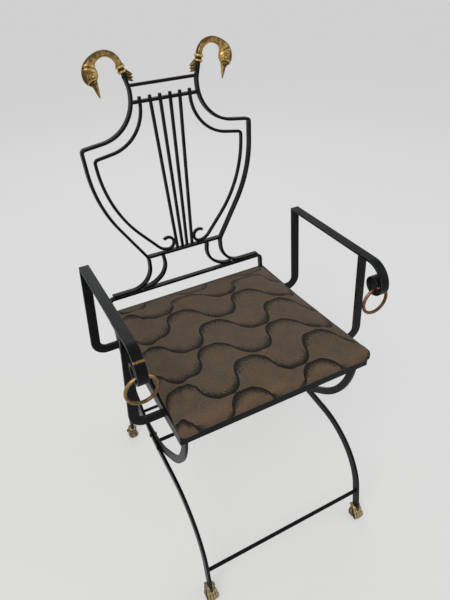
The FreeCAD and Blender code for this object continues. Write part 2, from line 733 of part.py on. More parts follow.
strings = {
    "string_1": mirrored(string_bar(size("string_low_outer"), size("string_high_outer"))),
    "string_2": mirrored(string_bar(size("string_low_inner"), size("string_high_inner"))),
    "string_3": string_bar(size("string_low_inner"), size("string_high_inner")),
    "string_4": string_bar(size("string_low_outer"), size("string_high_outer")),
}
lower_bar = level_rod(size("lower_rise"), size("waist_half") + thick, deep)
middle_bar = level_rod(size("string_bar_rise"), size("neck_half") + thick, deep)
upper_bar = level_rod(size("top_rise"), size("neck_half") + thick, thick)


def inside_frame(bar):
    """Part of a crossbar between the two frame bars."""
    cut = bar.cut([frame_bar, mirrored(frame_bar)])
    return max(cut.Solids, key=lambda piece: piece.Volume)


lower_bar = inside_frame(lower_bar)
middle_bar = inside_frame(middle_bar)
upper_bar = inside_frame(upper_bar)
passing = list(strings.values()) + [inner_bar_right, mirrored(inner_bar_right)]
middle_bar = middle_bar.cut(passing)
strings = {name: shape.cut(lower_bar) for name, shape in strings.items()}
inner_bar_right = inner_bar_right.cut(strings["string_4"])
foot_bar = foot_bar.cut([frame_bar, lower_bar, base_bar])
ground = Part.makeBox(2000, 100, 400, V(-1000, -100, -200))
ground.Placement = BACK.inverse().multiply(FreeCAD.Placement(V(0, 0, rail_top), UPRIGHT))
base_bar = base_bar.cut(ground)

solid("base_bar", base_bar, BACK)
solid("crossbar_lower", lower_bar, BACK)
solid("string_bar", middle_bar, BACK)
solid("crossbar_top", upper_bar, BACK)
for name, shape in strings.items():
    solid(name, shape, BACK)
for side, sense in SIDES:
    for name, shape in (("lyre_frame", frame_bar), ("lyre_inner", inner_bar_right), ("lyre_foot", foot_bar)):
        solid("%s_%s" % (name, side), shape if sense > 0 else mirrored(shape), BACK)

# Swans: neck and head swept over the top of each frame bar, two collars and a leaf.
top = V(size("top_end_half"), size("top_end_rise"), 0)
bar_line = (top - V(size("neck_half"), size("neck_rise"), 0)).normalize()
neck = size("swan_neck") / 2.0
head = size("swan_head") / 2.0
cheek = size("swan_cheek") / 2.0
# Offset from the bar's top end, half width in the plane and half thickness of each section.
SWAN_SECTIONS = [
    (0.8, 4.0, neck * 1.05, neck * 1.05),
    (5.0, 14.0, neck, neck),
    (10.5, 20.5, neck * 0.98, neck),
    (20.0, 25.6, neck * 0.98, neck),
    (31.5, 26.4, neck, neck),
    (42.5, 22.5, neck * 1.1, neck * 1.05),
    (51.5, 15.5, neck * 1.45, neck * 1.2),
    (56.3, 6.0, head * 0.86, cheek * 0.85),
    (56.8, -5.0, head, cheek),
    (55.0, -15.0, head * 0.86, cheek * 0.86),
    (52.3, -23.5, head * 0.6, cheek * 0.62),
    (49.8, -31.0, head * 0.4, cheek * 0.42),
    (48.0, -38.5, head * 0.24, cheek * 0.25),
    (46.6, -45.0, head * 0.09, cheek * 0.1),
]


def swept(sections, base):
    """Smooth solid through oval sections that stand square to their own path."""
    points = [base + V(a, b, 0) for a, b, half, depth in sections]
    rings = []
    for i, (a, b, half, depth) in enumerate(sections):
        ahead = points[min(i + 1, len(points) - 1)]
        behind = points[max(i - 1, 0)]
        along = (ahead - behind).normalize()
        rings.append(oval(points[i], V(along.y, -along.x, 0), V(0, 0, 1), half, depth, 14))
    return faceted(rings)


def collar(distance, wide, tall):
    """Collar with sloping shoulders about the bar, at a distance below the swan's foot."""
    base = top + bar_line * (4 - distance)
    side = V(bar_line.y, -bar_line.x, 0)
    rings = []
    for share, half in ((0.0, 0.42 * wide), (0.35, 0.5 * wide), (0.65, 0.5 * wide), (1.0, 0.42 * wide)):
        rings.append(oval(base + bar_line * (tall * share), side, V(0, 0, 1), half, half, 14))
    return faceted(rings)


swan = swept(SWAN_SECTIONS, top)
wide = size("collar_wide")
tall = size("collar_tall")
side = V(bar_line.y, -bar_line.x, 0)
sleeve = faceted([oval(top + bar_line * (4 - drop * tall), side, V(0, 0, 1), wide * 0.4, wide * 0.4, 14)
                  for drop in (2.5, -0.05)])
half_leaf = size("leaf_wide") / 2.0
LEAF = [
    (-6.5, 1.0, 2.2, half_leaf * 0.8),
    (-0.45 * size("leaf_reach"), -3.5, 2.0, half_leaf),
    (-0.75 * size("leaf_reach"), -0.42 * size("leaf_drop"), 1.7, half_leaf * 0.85),
    (-0.95 * size("leaf_reach"), -0.75 * size("leaf_drop"), 1.3, half_leaf * 0.55),
    (-size("leaf_reach"), -size("leaf_drop"), 0.8, half_leaf * 0.2),
]
leaf = swept(LEAF, top)
swan = swan.fuse([sleeve, collar(tall, wide, tall), collar(2.9 * tall, wide * 0.94, tall), leaf])
swan = swan.cut(frame_bar)
swan = max(swan.Solids, key=lambda piece: piece.Volume)
for side, sense in SIDES:
    solid("swan_" + side, swan if sense > 0 else mirrored(swan), BACK)

# Check every sub-part and write it out.
doc.recompute()
os.makedirs("parts", exist_ok=True)
for item in parts:
    shape = item.Shape
    if "Invalid" in item.State or "Error" in item.State:
        raise ValueError(item.Label + " is not up to date")
    if shape.isNull() or not shape.isValid() or shape.Volume <= 0:
        raise ValueError(item.Label + " is not a sound solid")
    shape.exportStep("parts/" + item.Label + ".step")
    print(item.Label, len(shape.Solids), round(shape.Volume, 1))
doc.saveAs("LyreChair.FCStd")
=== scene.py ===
"""Looks of a lyre back armchair: black wrought bar, cast brass and a waved cloth cushion.

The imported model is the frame. Sizes here are millimetres in the chair's own axes
(x across, y to the back, z up) and become metres where a mesh is made.
"""
import json
import logging
import math
from dataclasses import dataclass, replace
from enum import Enum
from typing import Optional, Union

import bmesh
import bpy
import numpy as np
from mathutils import Matrix, Vector

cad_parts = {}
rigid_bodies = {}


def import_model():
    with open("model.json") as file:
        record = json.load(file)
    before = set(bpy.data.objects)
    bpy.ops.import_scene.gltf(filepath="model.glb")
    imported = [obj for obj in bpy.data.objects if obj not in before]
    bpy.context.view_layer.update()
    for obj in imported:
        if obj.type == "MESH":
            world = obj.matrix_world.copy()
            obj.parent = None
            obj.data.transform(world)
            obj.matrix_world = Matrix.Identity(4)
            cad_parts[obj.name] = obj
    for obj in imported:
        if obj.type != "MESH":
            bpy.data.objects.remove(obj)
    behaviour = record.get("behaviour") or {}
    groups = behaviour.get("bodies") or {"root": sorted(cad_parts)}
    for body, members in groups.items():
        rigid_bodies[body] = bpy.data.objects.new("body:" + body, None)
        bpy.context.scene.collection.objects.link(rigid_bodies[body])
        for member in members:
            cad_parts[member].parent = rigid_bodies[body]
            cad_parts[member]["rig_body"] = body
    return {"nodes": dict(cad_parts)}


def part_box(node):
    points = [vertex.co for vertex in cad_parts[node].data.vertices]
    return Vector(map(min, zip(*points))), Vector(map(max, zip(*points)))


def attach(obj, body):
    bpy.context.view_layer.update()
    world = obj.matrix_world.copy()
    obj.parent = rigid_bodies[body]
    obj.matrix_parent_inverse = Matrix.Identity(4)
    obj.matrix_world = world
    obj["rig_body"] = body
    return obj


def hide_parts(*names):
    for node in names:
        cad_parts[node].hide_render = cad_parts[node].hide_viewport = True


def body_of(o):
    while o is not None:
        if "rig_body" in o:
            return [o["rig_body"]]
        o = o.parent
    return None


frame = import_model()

LOG = logging.getLogger("lyre_chair")
MM = 0.001
X_AXIS, Y_AXIS, Z_AXIS = np.eye(3)
Colour = tuple[float, float, float, float]
Number = Union[float, "Quantity"]
Bells = tuple[tuple[float, float, float], ...]


def colour(red: int, green: int, blue: int) -> Colour:
    """Turn screen colour steps of 0 to 255 into the linear colour that a shader holds.

    Each channel follows the screen's curve: below 0.04045 a straight line, above it a power of 2.4.

    Args:
        red: Red step.
        green: Green step.
        blue: Blue step.

    Returns:
        Linear red, green, blue and a full alpha.
    """
    steps = np.array([red, green, blue]) / 255.0
    linear = np.where(steps <= 0.04045, steps / 12.92, ((steps + 0.055) / 1.055) ** 2.4)
    return (*[float(v) for v in linear], 1.0)


class Slot(Enum):
    """Material slots of the record."""

    IRON = "black_iron"
    BRASS = "antique_brass"
    RING = "ring_brass"
    CLOTH = "seat_fabric"
    PLYWOOD = "plywood"


class Quantity:
    """A number that varies over a surface, so that shader maths reads as an expression."""

    def __init__(self, sheet: "NodeSheet", socket: bpy.types.NodeSocket) -> None:
        """Remember the sheet of nodes and the output socket."""
        self.sheet = sheet
        self.socket = socket

    def _math(self, operation: str, *values: Number) -> "Quantity":
        """Add one Math node on the values."""
        made = self.sheet.node("ShaderNodeMath", {"operation": operation}, dict(enumerate(values)))
        return Quantity(self.sheet, made.outputs[0])

    def __add__(self, other: Number) -> "Quantity":
        """Sum."""
        return self._math("ADD", self, other)

    __radd__ = __add__

    def __sub__(self, other: Number) -> "Quantity":
        """Difference."""
        return self._math("SUBTRACT", self, other)

    def __rsub__(self, other: Number) -> "Quantity":
        """Difference with the quantity taken away."""
        return self._math("SUBTRACT", other, self)

    def __mul__(self, other: Number) -> "Quantity":
        """Product."""
        return self._math("MULTIPLY", self, other)

    __rmul__ = __mul__

    def __truediv__(self, other: Number) -> "Quantity":
        """Quotient."""
        return self._math("DIVIDE", self, other)

    def __pow__(self, other: Number) -> "Quantity":
        """Power."""
        return self._math("POWER", self, other)

    def __gt__(self, other: Number) -> "Quantity":
        """One where the quantity is the larger, else nought."""
        return self._math("GREATER_THAN", self, other)

    def size(self) -> "Quantity":
        """Distance from nought."""
        return self._math("ABSOLUTE", self)

    def sine(self) -> "Quantity":
        """Sine of an angle in radians."""
        return self._math("SINE", self)

    def whole(self) -> "Quantity":
        """Nearest whole number."""
        return self._math("ROUND", self)

    def root(self) -> "Quantity":
        """Square root."""
        return self._math("SQRT", self)

    def bearing(self, across: Number) -> "Quantity":
        """Angle whose tangent is this quantity over the other."""
        return self._math("ARCTAN2", self, across)

    def least(self, other: Number) -> "Quantity":
        """Smaller of two."""
        return self._math("MINIMUM", self, other)

    def greatest(self, other: Number) -> "Quantity":
        """Larger of two."""
        return self._math("MAXIMUM", self, other)

    def ramp(self, start: float, end: float) -> "Quantity":
        """Smooth step from nought at start to one at end.

        Args:
            start: Value where the step begins.
            end: Value where it is complete; it may lie below start.

        Returns:
            The step.
        """
        low, high, first, last = (start, end, 0.0, 1.0) if start < end else (end, start, 1.0, 0.0)
        made = self.sheet.node("ShaderNodeMapRange", {"interpolation_type": "SMOOTHSTEP"}, {
            "Value": self, "From Min": low, "From Max": high, "To Min": first, "To Max": last})
        return Quantity(self.sheet, made.outputs["Result"])


class NodeSheet:
    """The node tree of a material or of the studio's air, filled by one node-making method."""

    def __init__(self, name: str, air: Optional[bpy.types.World] = None) -> None:
        """Start an empty material, or empty the tree of the air.

        Args:
            name: Name of the material.
            air: World whose tree is filled instead of a material's.
        """
        self.owner = air or bpy.data.materials.new(name)
        self.owner.use_nodes = True
        self.tree = self.owner.node_tree
        self.tree.nodes.clear()
        self.place = self.node("ShaderNodeTexCoord").outputs["Object"]

    def node(self, kind: str, settings: Optional[dict] = None,
             sockets: Optional[dict] = None) -> bpy.types.Node:
        """Add one node.

        Args:
            kind: Node type.
            settings: Properties, set first.
            sockets: Values, quantities or output sockets, by input name or number.

        Returns:
            The new node.
        """
        made = self.tree.nodes.new(kind)
        for key, value in (settings or {}).items():
            setattr(made, key, value)
        for key, value in (sockets or {}).items():
            if isinstance(value, Quantity):
                value = value.socket
            if isinstance(value, bpy.types.NodeSocket):
                self.tree.links.new(value, made.inputs[key])
            else:
                made.inputs[key].default_value = value
        return made

    def axes(self, vector: Optional[bpy.types.NodeSocket] = None) -> tuple[Quantity, Quantity, Quantity]:
        """Split a vector, by default the place on the piece, into millimetres along x, y and z."""
        made = self.node("ShaderNodeSeparateXYZ", {}, {0: vector or self.place})
        return tuple(Quantity(self, made.outputs[i]) * 1000.0 for i in range(3))

    def noise(self, grain: float, detail: float = 3.0, rough: float = 0.55,
              vector: Optional[bpy.types.NodeSocket] = None, stretch: Optional[tuple] = None) -> Quantity:
        """Cloudy value about a half.

        Args:
            grain: Size of a cloud in millimetres.
            detail: How many finer layers.
            rough: Strength of the finer layers.
            vector: Place to read; the piece's own by default.
            stretch: Scale along each axis before the noise is read.

        Returns:
            Noise from nought to one.
        """
        place = vector or self.place
        if stretch:
            scaled = self.node("ShaderNodeVectorMath", {"operation": "MULTIPLY"}, {0: place, 1: stretch})
            place = scaled.outputs[0]
        made = self.node("ShaderNodeTexNoise", {}, {
            "Vector": place, "Scale": 1.0 / (grain * MM), "Detail": detail, "Roughness": rough})
        return Quantity(self, made.outputs["Fac"])

    def attribute(self, name: str, output: str = "Fac") -> bpy.types.NodeSocket:
        """Read a mesh attribute."""
        return self.node("ShaderNodeAttribute", {"attribute_name": name}).outputs[output]

    def blend(self, amount: Number, first: object, second: object) -> bpy.types.NodeSocket:
        """Mix two colours.

        Args:
            amount: Share of the second colour.
            first: Colour or colour socket.
            second: Colour or colour socket.

        Returns:
            Colour socket.
        """
        made = self.node("ShaderNodeMix", {"data_type": "RGBA"}, {0: amount, 6: first, 7: second})
        return made.outputs[2]

    def bump(self, height: Number, millimetres: float) -> bpy.types.NodeSocket:
        """Turn a height from nought to one, and the rise of a full height, into a normal."""
        sockets = {"Height": height, "Distance": millimetres * MM, "Strength": 1.0}
        return self.node("ShaderNodeBump", {}, sockets).outputs["Normal"]

    def seen(self) -> Quantity:
        """One for rays from the camera, mirrors and glass, nought for rays that only light the scene."""
        rays = self.node("ShaderNodeLightPath").outputs
        return Quantity(self, rays["Is Camera Ray"]).greatest(
            Quantity(self, rays["Is Glossy Ray"])).greatest(Quantity(self, rays["Is Transmission Ray"]))

    def close(self, shader: bpy.types.Node) -> bpy.types.Material:
        """Lead the shader to the output and hand the material over."""
        self.node("ShaderNodeOutputMaterial", {}, {"Surface": shader.outputs[0]})
        return self.owner

    def finish(self, sockets: dict) -> bpy.types.Material:
        """Close the material with one shader of these sockets."""
        return self.close(self.node("ShaderNodeBsdfPrincipled", {}, sockets))


@dataclass(frozen=True)
class BlackIron:
    """Satin black paint over hand-wrought bar, thinner and greyer along the edges, where the grey is also a
    painted highlight.

    The brassy rub is a spot on one arm: its side, how far out it starts, and its place in y and z.
    """

    paint: Colour = colour(9, 10, 11)
    bloom: Colour = colour(17, 18, 20)
    # edge: grey of the worn edges, light enough to be partly a painted highlight
    edge: Colour = colour(104, 108, 112)
    rubbed: Colour = colour(178, 138, 78)
    cloud: float = 22.0
    speck: float = 1.6
    dent: float = 9.0
    dent_deep: float = 0.22
    mirror: float = 0.11
    rub_side: float = -1.0
    rub_out: float = 224.0
    rub_place: tuple[float, float] = (-158.5, 603.5)
    rub_long: float = 3.6
    rub_grain: float = 2.5

    def material(self) -> bpy.types.Material:
        """Paint with cloudy bloom, worn edges that also carry a painted highlight, and one brassy rub on an
        arm.

        Returns:
            The finish.
        """
        sheet = NodeSheet("black_iron")
        x, y, z = sheet.axes()
        clouds = sheet.noise(self.cloud, 4.0)
        speckle = sheet.noise(self.speck, 2.0)
        hammer = sheet.noise(self.dent, 1.0)
        edge_wear_and_highlight = Quantity(sheet, sheet.attribute("edge_wear_and_highlight"))
        # worn edges in cloudy patches; their grey is partly wear and partly a painted highlight
        thin = edge_wear_and_highlight * clouds.ramp(0.25, 0.7) * speckle.ramp(0.2, 0.62)
        tone = sheet.blend(clouds.ramp(0.38, 0.68), self.paint, self.bloom)
        tone = sheet.blend(thin * 0.85, tone, self.edge)
        reach = ((y - self.rub_place[0]) ** 2 + (z - self.rub_place[1]) ** 2).root() / self.rub_long
        arm = (x * self.rub_side) > self.rub_out
        rub = arm * (1.0 - reach).ramp(0.0, 0.55) * sheet.noise(self.rub_grain, 3.0).ramp(0.25, 0.6)
        tone = sheet.blend(rub, tone, self.rubbed)
        rough = 0.22 + clouds * 0.16 + speckle * 0.08 + thin * 0.12
        return sheet.finish({
            "Base Color": tone, "Roughness": rough, "Metallic": rub * 0.8,
            "Normal": sheet.bump(hammer * 0.7 + speckle * 0.3, self.dent_deep),
            "Specular IOR Level": self.mirror})


@dataclass(frozen=True)
class CastBrass:
    """Antique cast brass: polished high places, brown patina in the hollows."""

    name: str = "antique_brass"
    high: Colour = colour(190, 158, 98)
    middle: Colour = colour(98, 76, 42)
    hollow: Colour = colour(36, 26, 17)
    patina: float = 0.9
    cloud: float = 7.0
    speck: float = 0.9
    pit_deep: float = 0.12

    def material(self) -> bpy.types.Material:
        """Brass whose tone follows the casting's relief and a cloudy patina.

        Returns:
            The finish.
        """
        sheet = NodeSheet(self.name)
        relief = Quantity(sheet, sheet.attribute("relief"))
        clouds = sheet.noise(self.cloud, 4.0)
        speckle = sheet.noise(self.speck, 3.0, 0.65)
        worn = relief + (clouds - 0.5) * self.patina
        tone = sheet.blend(worn.ramp(-0.05, 0.62), self.middle, self.high)
        dirt = (worn.ramp(0.10, -0.55) + speckle.ramp(0.62, 0.8) * 0.35).least(1.0)
        return sheet.finish({
            "Base Color": sheet.blend(dirt, tone, self.hollow),
            "Roughness": 0.26 + dirt * 0.36 + clouds * 0.14, "Metallic": 1.0 - dirt * 0.55,
            "Normal": sheet.bump(speckle * 0.5 + clouds * 0.5, self.pit_deep)})


@dataclass(frozen=True)
class Plywood:
    """Seat board: long grain on the faces, darker glue lines in the edge."""

    pale: Colour = colour(196, 160, 112)
    dark: Colour = colour(138, 98, 60)
    ply: float = 2.0
    grain: float = 5.0
    pore: float = 0.8
    pore_deep: float = 0.15

    def material(self) -> bpy.types.Material:
        """Grain drawn along x, with plies stacked along z.

        Returns:
            The finish.
        """
        sheet = NodeSheet("plywood")
        _, _, z = sheet.axes()
        grain = sheet.noise(self.grain, 5.0, 0.6, stretch=(0.06, 1.0, 1.0))
        pores = sheet.noise(self.pore, 2.0, 0.5, stretch=(0.05, 1.0, 1.0))
        layer = (z * (math.pi / self.ply)).sine() * 0.5 + 0.5
        tone = sheet.blend(grain.ramp(0.35, 0.65), self.pale, self.dark)
        return sheet.finish({
            "Base Color": sheet.blend(layer.ramp(0.8, 1.0) * 0.5, tone, self.dark),
            "Roughness": 0.62 + pores * 0.2, "Normal": sheet.bump(pores, self.pore_deep)})


@dataclass(frozen=True)
class WavedCloth:
    """Taupe cloth with black waves of alternating arches and stippled shade inside each.

    The middle lines of the waves lie a row apart from the rear to the front. An arch stands
    on the rear side of its line, and the next one, half a period across, on the front side.
    Every other wave is shifted to one side, and all drift a little across toward the front.
    """

    ground: Colour = colour(86, 74, 61)
    warm: Colour = colour(97, 80, 63)
    pale: Colour = colour(122, 107, 90)
    # front_painted_light: lighter, warmer tone painted on the front roll as light on its front face
    front_painted_light: Colour = colour(110, 86, 66)
    ink: Colour = colour(9, 8, 8)
    fuzz: Colour = colour(170, 150, 128)
    period: float = 147.0
    half_wide: float = 36.75
    half_tall: float = 32.0
    arch: float = 2.2
    foot: float = 1.45
    depth: float = 17.0
    lean: float = 0.13
    row: float = 63.5
    first_row: float = 108.0
    first_hump: float = 106.0
    shift: float = 38.0
    drift: float = 3.6
    line: float = 2.0
    line_soft: float = 0.35
    fray: float = 1.3
    fray_wide: float = 0.6
    wander: float = 30.0
    wander_wide: float = 0.8
    shade: float = 15.0
    dot: float = 2.2
    hair_turn: float = 0.024
    hair_long: float = 0.00022
    hair_apart: float = 0.01
    crest_tall: float = 14.0
    sparse: float = 0.72
    edge_denser: float = 0.13
    crest_denser: float = 0.17
    front_denser: float = 0.10
    front_from: float = -150.0
    front_to: float = -192.0
    front_light_from: float = -176.0
    front_light_long: float = 24.0
    fleck: float = 2.4
    thread: float = 1.15
    thread_deep: float = 0.35

    def arch_at(self, along: Quantity, back: Quantity) -> tuple[Quantity, Quantity, Quantity, Quantity]:
        """Find the arch that a place on the cover belongs to.

        The outline is where the leaning share of the half width to the power of the arch, plus
        the share of the half height to the power of the foot, makes one.

        Args:
            along: Place across the cover in millimetres.
            back: Place toward the rear.

        Returns:
            The wave's number, the place across and down its arch, and the depth outside the
            outline, below nought inside it.
        """
        number = ((self.first_row - back) / self.row).whole()
        down = back - self.first_row + number * self.row
        odd = (number * (math.pi / 2.0)).sine().size()
        lower = 1.0 - (down > 0.0)
        start = self.first_hump + number * self.drift - odd * self.shift + lower * (self.period / 2.0)
        turns = (along - start) / self.period
        across = (turns - turns.whole()) * self.period
        lean = (across + down * self.lean) / self.half_wide
        tall = down.size() / self.half_tall
        off = (lean.size() ** self.arch + tall ** self.foot - 1.0) * self.depth
        return number, across, down, off

    def printed(self, sheet: NodeSheet, cloth: bpy.types.NodeSocket, wander: Quantity
                ) -> tuple[Quantity, Quantity]:
        """Print a line round each arch, and hairs and dots inside it that thicken toward the line.

        The hairs are noise read on a fan: by bearing from the arch's middle, much less by depth.
        A hair or a dot shows where its noise passes a bar that is lower near the outline, at
        the crest and at the seat's front.

        Args:
            sheet: Nodes of the cloth.
            cloth: Place on the cover.
            wander: Slow noise that changes the line's width.

        Returns:
            Share of ink, and how near the outline the place is, nought outside the arches.
        """
        along, back, _ = sheet.axes(cloth)
        number, across, down, off = self.arch_at(along, back)
        fray = sheet.noise(self.fray, 2.0, vector=cloth)
        stroke = off.size() - (fray - 0.5) * self.fray_wide - (wander - 0.5) * self.wander_wide
        line = stroke.ramp(self.line + self.line_soft, self.line - self.line_soft)
        bearing = (down / self.half_tall).bearing(across / self.half_wide)
        fan = sheet.node("ShaderNodeCombineXYZ", {}, {
            0: bearing * self.hair_turn, 1: off * self.hair_long, 2: number * self.hair_apart})
        hairs = sheet.noise(1.0, 0.0, 0.5, vector=fan.outputs[0])
        dots = sheet.noise(self.dot, 1.0, 0.5, vector=cloth)
        near = off.ramp(-self.shade, 0.0)
        crest = down.size().ramp(1.0, self.crest_tall)
        inside = off.ramp(0.5, -0.5)
        bar = (self.sparse - near * (self.edge_denser + crest * self.crest_denser)
               - back.ramp(self.front_from, self.front_to) * near * self.front_denser)
        stipple = (hairs - bar).ramp(-0.02, 0.02).greatest((dots - bar).ramp(-0.02, 0.02)) * inside
        return (line + stipple * (0.6 + near * 0.35)).least(1.0), inside * near

    def material(self) -> bpy.types.Material:
        """Cloth whose pattern follows the "cloth" attribute, the place along and down the cover.

        Returns:
            The finish.
        """
        sheet = NodeSheet("seat_fabric")
        cloth = sheet.attribute("cloth", "Vector")
        along, back, _ = sheet.axes(cloth)
        wander = sheet.noise(self.wander, 2.0, vector=cloth)
        ink, shaded = self.printed(sheet, cloth, wander)
        warp = (along * (math.pi / self.thread)).sine()
        weft = ((back + along * 0.5) * (math.pi / self.thread)).sine()
        weave = warp * weft * 0.5 + 0.5
        fleck = sheet.noise(self.fleck, 3.0, 0.8, vector=cloth, stretch=(0.6, 1.3, 1.0))
        # painted light: the front roll lighter and warmer in patches
        worn = back.ramp(self.front_light_from, self.front_light_from - self.front_light_long) * wander.ramp(0.2, 0.6)
        tone = self.ground
        for share, shade in ((wander.ramp(0.3, 0.7), self.warm), (worn * 0.7, self.front_painted_light),
                             (shaded * 0.22, self.ink), (fleck.ramp(0.5, 0.72) * 0.6, self.pale),
                             (fleck.ramp(0.47, 0.3) * 0.6, self.ink), (ink, self.ink)):
            tone = sheet.blend(share, tone, shade)
        return sheet.finish({
            "Base Color": tone, "Roughness": 0.86 - ink * 0.1,
            "Normal": sheet.bump(weave * 0.6 + fleck * 0.4, self.thread_deep),
            "Specular IOR Level": 0.25, "Sheen Weight": 0.06, "Sheen Roughness": 0.6,
            "Sheen Tint": self.fuzz})


@dataclass(frozen=True)
class Patch:
    """A grid of points in millimetres, rows along the piece and columns round it.

    Its ends are closed, or where it is looped, the last row joins the first.
    """

    points: np.ndarray
    relief: Optional[np.ndarray] = None
    looped: bool = False

    def closed(self) -> tuple[np.ndarray, list[np.ndarray]]:
        """Join the grid by quads, each from its corner to the next column and the next row.

        An end that isn't looped gets a fan of triangles about the mean of its row.

        Returns:
            The points, with the middles of the ends last, and arrays of faces as point numbers.
        """
        rows, columns, _ = self.points.shape
        i, j = np.meshgrid(np.arange(rows if self.looped else rows - 1), np.arange(columns), indexing="ij")
        ahead, beside = (i + 1) % rows, (j + 1) % columns
        corners = [i * columns + j, i * columns + beside, ahead * columns + beside, ahead * columns + j]
        faces = [np.stack([c.ravel() for c in corners], axis=1)]
        points = self.points.reshape(-1, 3)
        if self.looped:
            return points, faces
        around = np.arange(columns)
        for first, pole in ((0, rows * columns), ((rows - 1) * columns, rows * columns + 1)):
            ring = [first + around, first + (around + 1) % columns, np.full(columns, pole)]
            faces.append(np.stack(ring, axis=1))
        return np.vstack([points, self.points[0].mean(axis=0), self.points[-1].mean(axis=0)]), faces


def meshed(name: str, patches: list[Patch]) -> bpy.types.Mesh:
    """Make one mesh of closed patches, with every face turned outwards and the relief stored.

    Args:
        name: Name of the mesh.
        patches: Its surfaces.

    Returns:
        The mesh.
    """
    points, faces, relief, count = [], [], [], 0
    for patch in patches:
        closed, groups = patch.closed()
        for group in groups:
            faces += (group + count).tolist()
        height = np.zeros(len(closed))
        if patch.relief is not None:
            height[:patch.relief.size] = np.clip(patch.relief, -1.0, 1.0).ravel()
        points.append(closed)
        relief.append(height)
        count += len(closed)
    mesh = bpy.data.meshes.new(name)
    mesh.from_pydata((np.vstack(points) * MM).tolist(), [], faces)
    heights = np.concatenate(relief)
    if heights.any():
        mesh.attributes.new("relief", "FLOAT", "POINT").data.foreach_set("value", heights)
    build = bmesh.new()
    build.from_mesh(mesh)
    bmesh.ops.recalc_face_normals(build, faces=build.faces)
    build.to_mesh(mesh)
    build.free()
    return mesh


def shade_smooth(mesh: bpy.types.Mesh) -> None:
    """Shade every face smooth."""
    mesh.polygons.foreach_set("use_smooth", np.ones(len(mesh.polygons), dtype=bool))


def cast(name: str, patches: list[Patch], material: bpy.types.Material, body: str
         ) -> bpy.types.Object:
    """Make one smooth piece of several patches.

    Args:
        name: Name of the piece.
        patches: Its surfaces.
        material: Its finish.
        body: Body that it rides on.

    Returns:
        The piece, at the origin, with its place in its mesh.
    """
    mesh = meshed(name, patches)
    shade_smooth(mesh)
    return finished(name, mesh, material, body)


def put(name: str, data: bpy.types.ID) -> bpy.types.Object:
    """Put a mesh, lamp or camera into the scene."""
    thing = bpy.data.objects.new(name, data)
    bpy.context.scene.collection.objects.link(thing)
    return thing


def dress(mesh: bpy.types.Mesh, material: bpy.types.Material) -> None:
    """Give a mesh one finish."""
    mesh.materials.clear()
    mesh.materials.append(material)


def finished(name: str, mesh: bpy.types.Mesh, material: bpy.types.Material, body: str
             ) -> bpy.types.Object:
    """Put a mesh into the scene as a piece of the chair.

    Args:
        name: Name of the piece.
        mesh: Its mesh, in place.
        material: Its finish.
        body: Body that it rides on.

    Returns:
        The piece.
    """
    dress(mesh, material)
    piece = put(name, mesh)
    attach(piece, body)
    LOG.info("%s: %d faces, rides on %s", name, len(mesh.polygons), body)
    return piece


def box_of(node: str) -> tuple[Vector, Vector]:
    """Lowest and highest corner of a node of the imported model, in millimetres."""
    low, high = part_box(node)
    return low / MM, high / MM


def smooth_through(stations: np.ndarray, count: int) -> np.ndarray:
    """Carry a smooth curve through stations whose first two columns are their place.

    The knots are the chord lengths added up. Between two knots the value is the straight mix
    of the two stations plus a cubic share of their bends, and the bends come from one linear
    system that makes the slopes meet, with no bend at the ends.

    Args:
        stations: One row per station.
        count: Number of rows wanted.

    Returns:
        Rows evenly spaced along the chords.
    """
    steps = np.linalg.norm(np.diff(stations[:, :2], axis=0), axis=1)
    knots = np.concatenate([[0.0], np.cumsum(steps)])
    inner = np.arange(1, len(knots) - 1)
    system = np.eye(len(knots))
    system[inner, inner - 1] = steps[:-1]
    system[inner, inner] = 2.0 * (steps[:-1] + steps[1:])
    system[inner, inner + 1] = steps[1:]
    slopes = np.diff(stations, axis=0) / steps[:, None]
    pull = np.zeros_like(stations)
    pull[1:-1] = 6.0 * np.diff(slopes, axis=0)
    bends = np.linalg.solve(system, pull)
    where = np.linspace(0.0, knots[-1], count)
    k = np.clip(np.searchsorted(knots, where) - 1, 0, len(steps) - 1)
    width = steps[k][:, None]
    before = (knots[k + 1] - where)[:, None] / width
    after = 1.0 - before
    cubic = (before ** 3 - before) * bends[k] + (after ** 3 - after) * bends[k + 1]
    return before * stations[k] + after * stations[k + 1] + cubic * width ** 2 / 6.0


def unit(vectors: np.ndarray) -> np.ndarray:
    """Scale each vector to length one."""
    return vectors / np.linalg.norm(vectors, axis=-1, keepdims=True)


def direction(path: np.ndarray) -> np.ndarray:
    """Unit direction along a path at each of its points."""
    return unit(np.gradient(path, axis=0))


def in_plane(across: np.ndarray, rise: np.ndarray) -> tuple[np.ndarray, np.ndarray]:
    """Lay a path in the plane of x and y.

    Args:
        across: Its x at each point.
        rise: Its y.

    Returns:
        The path, and its direction turned a quarter to the right in the plane.
    """
    path = np.column_stack([across, rise, np.zeros(len(across))])
    along = direction(path)
    return path, np.column_stack([along[:, 1], -along[:, 0], np.zeros(len(across))])


def full_turn(count: int) -> np.ndarray:
    """Angles evenly spaced round a circle."""
    return np.linspace(0.0, 2.0 * math.pi, count, endpoint=False)


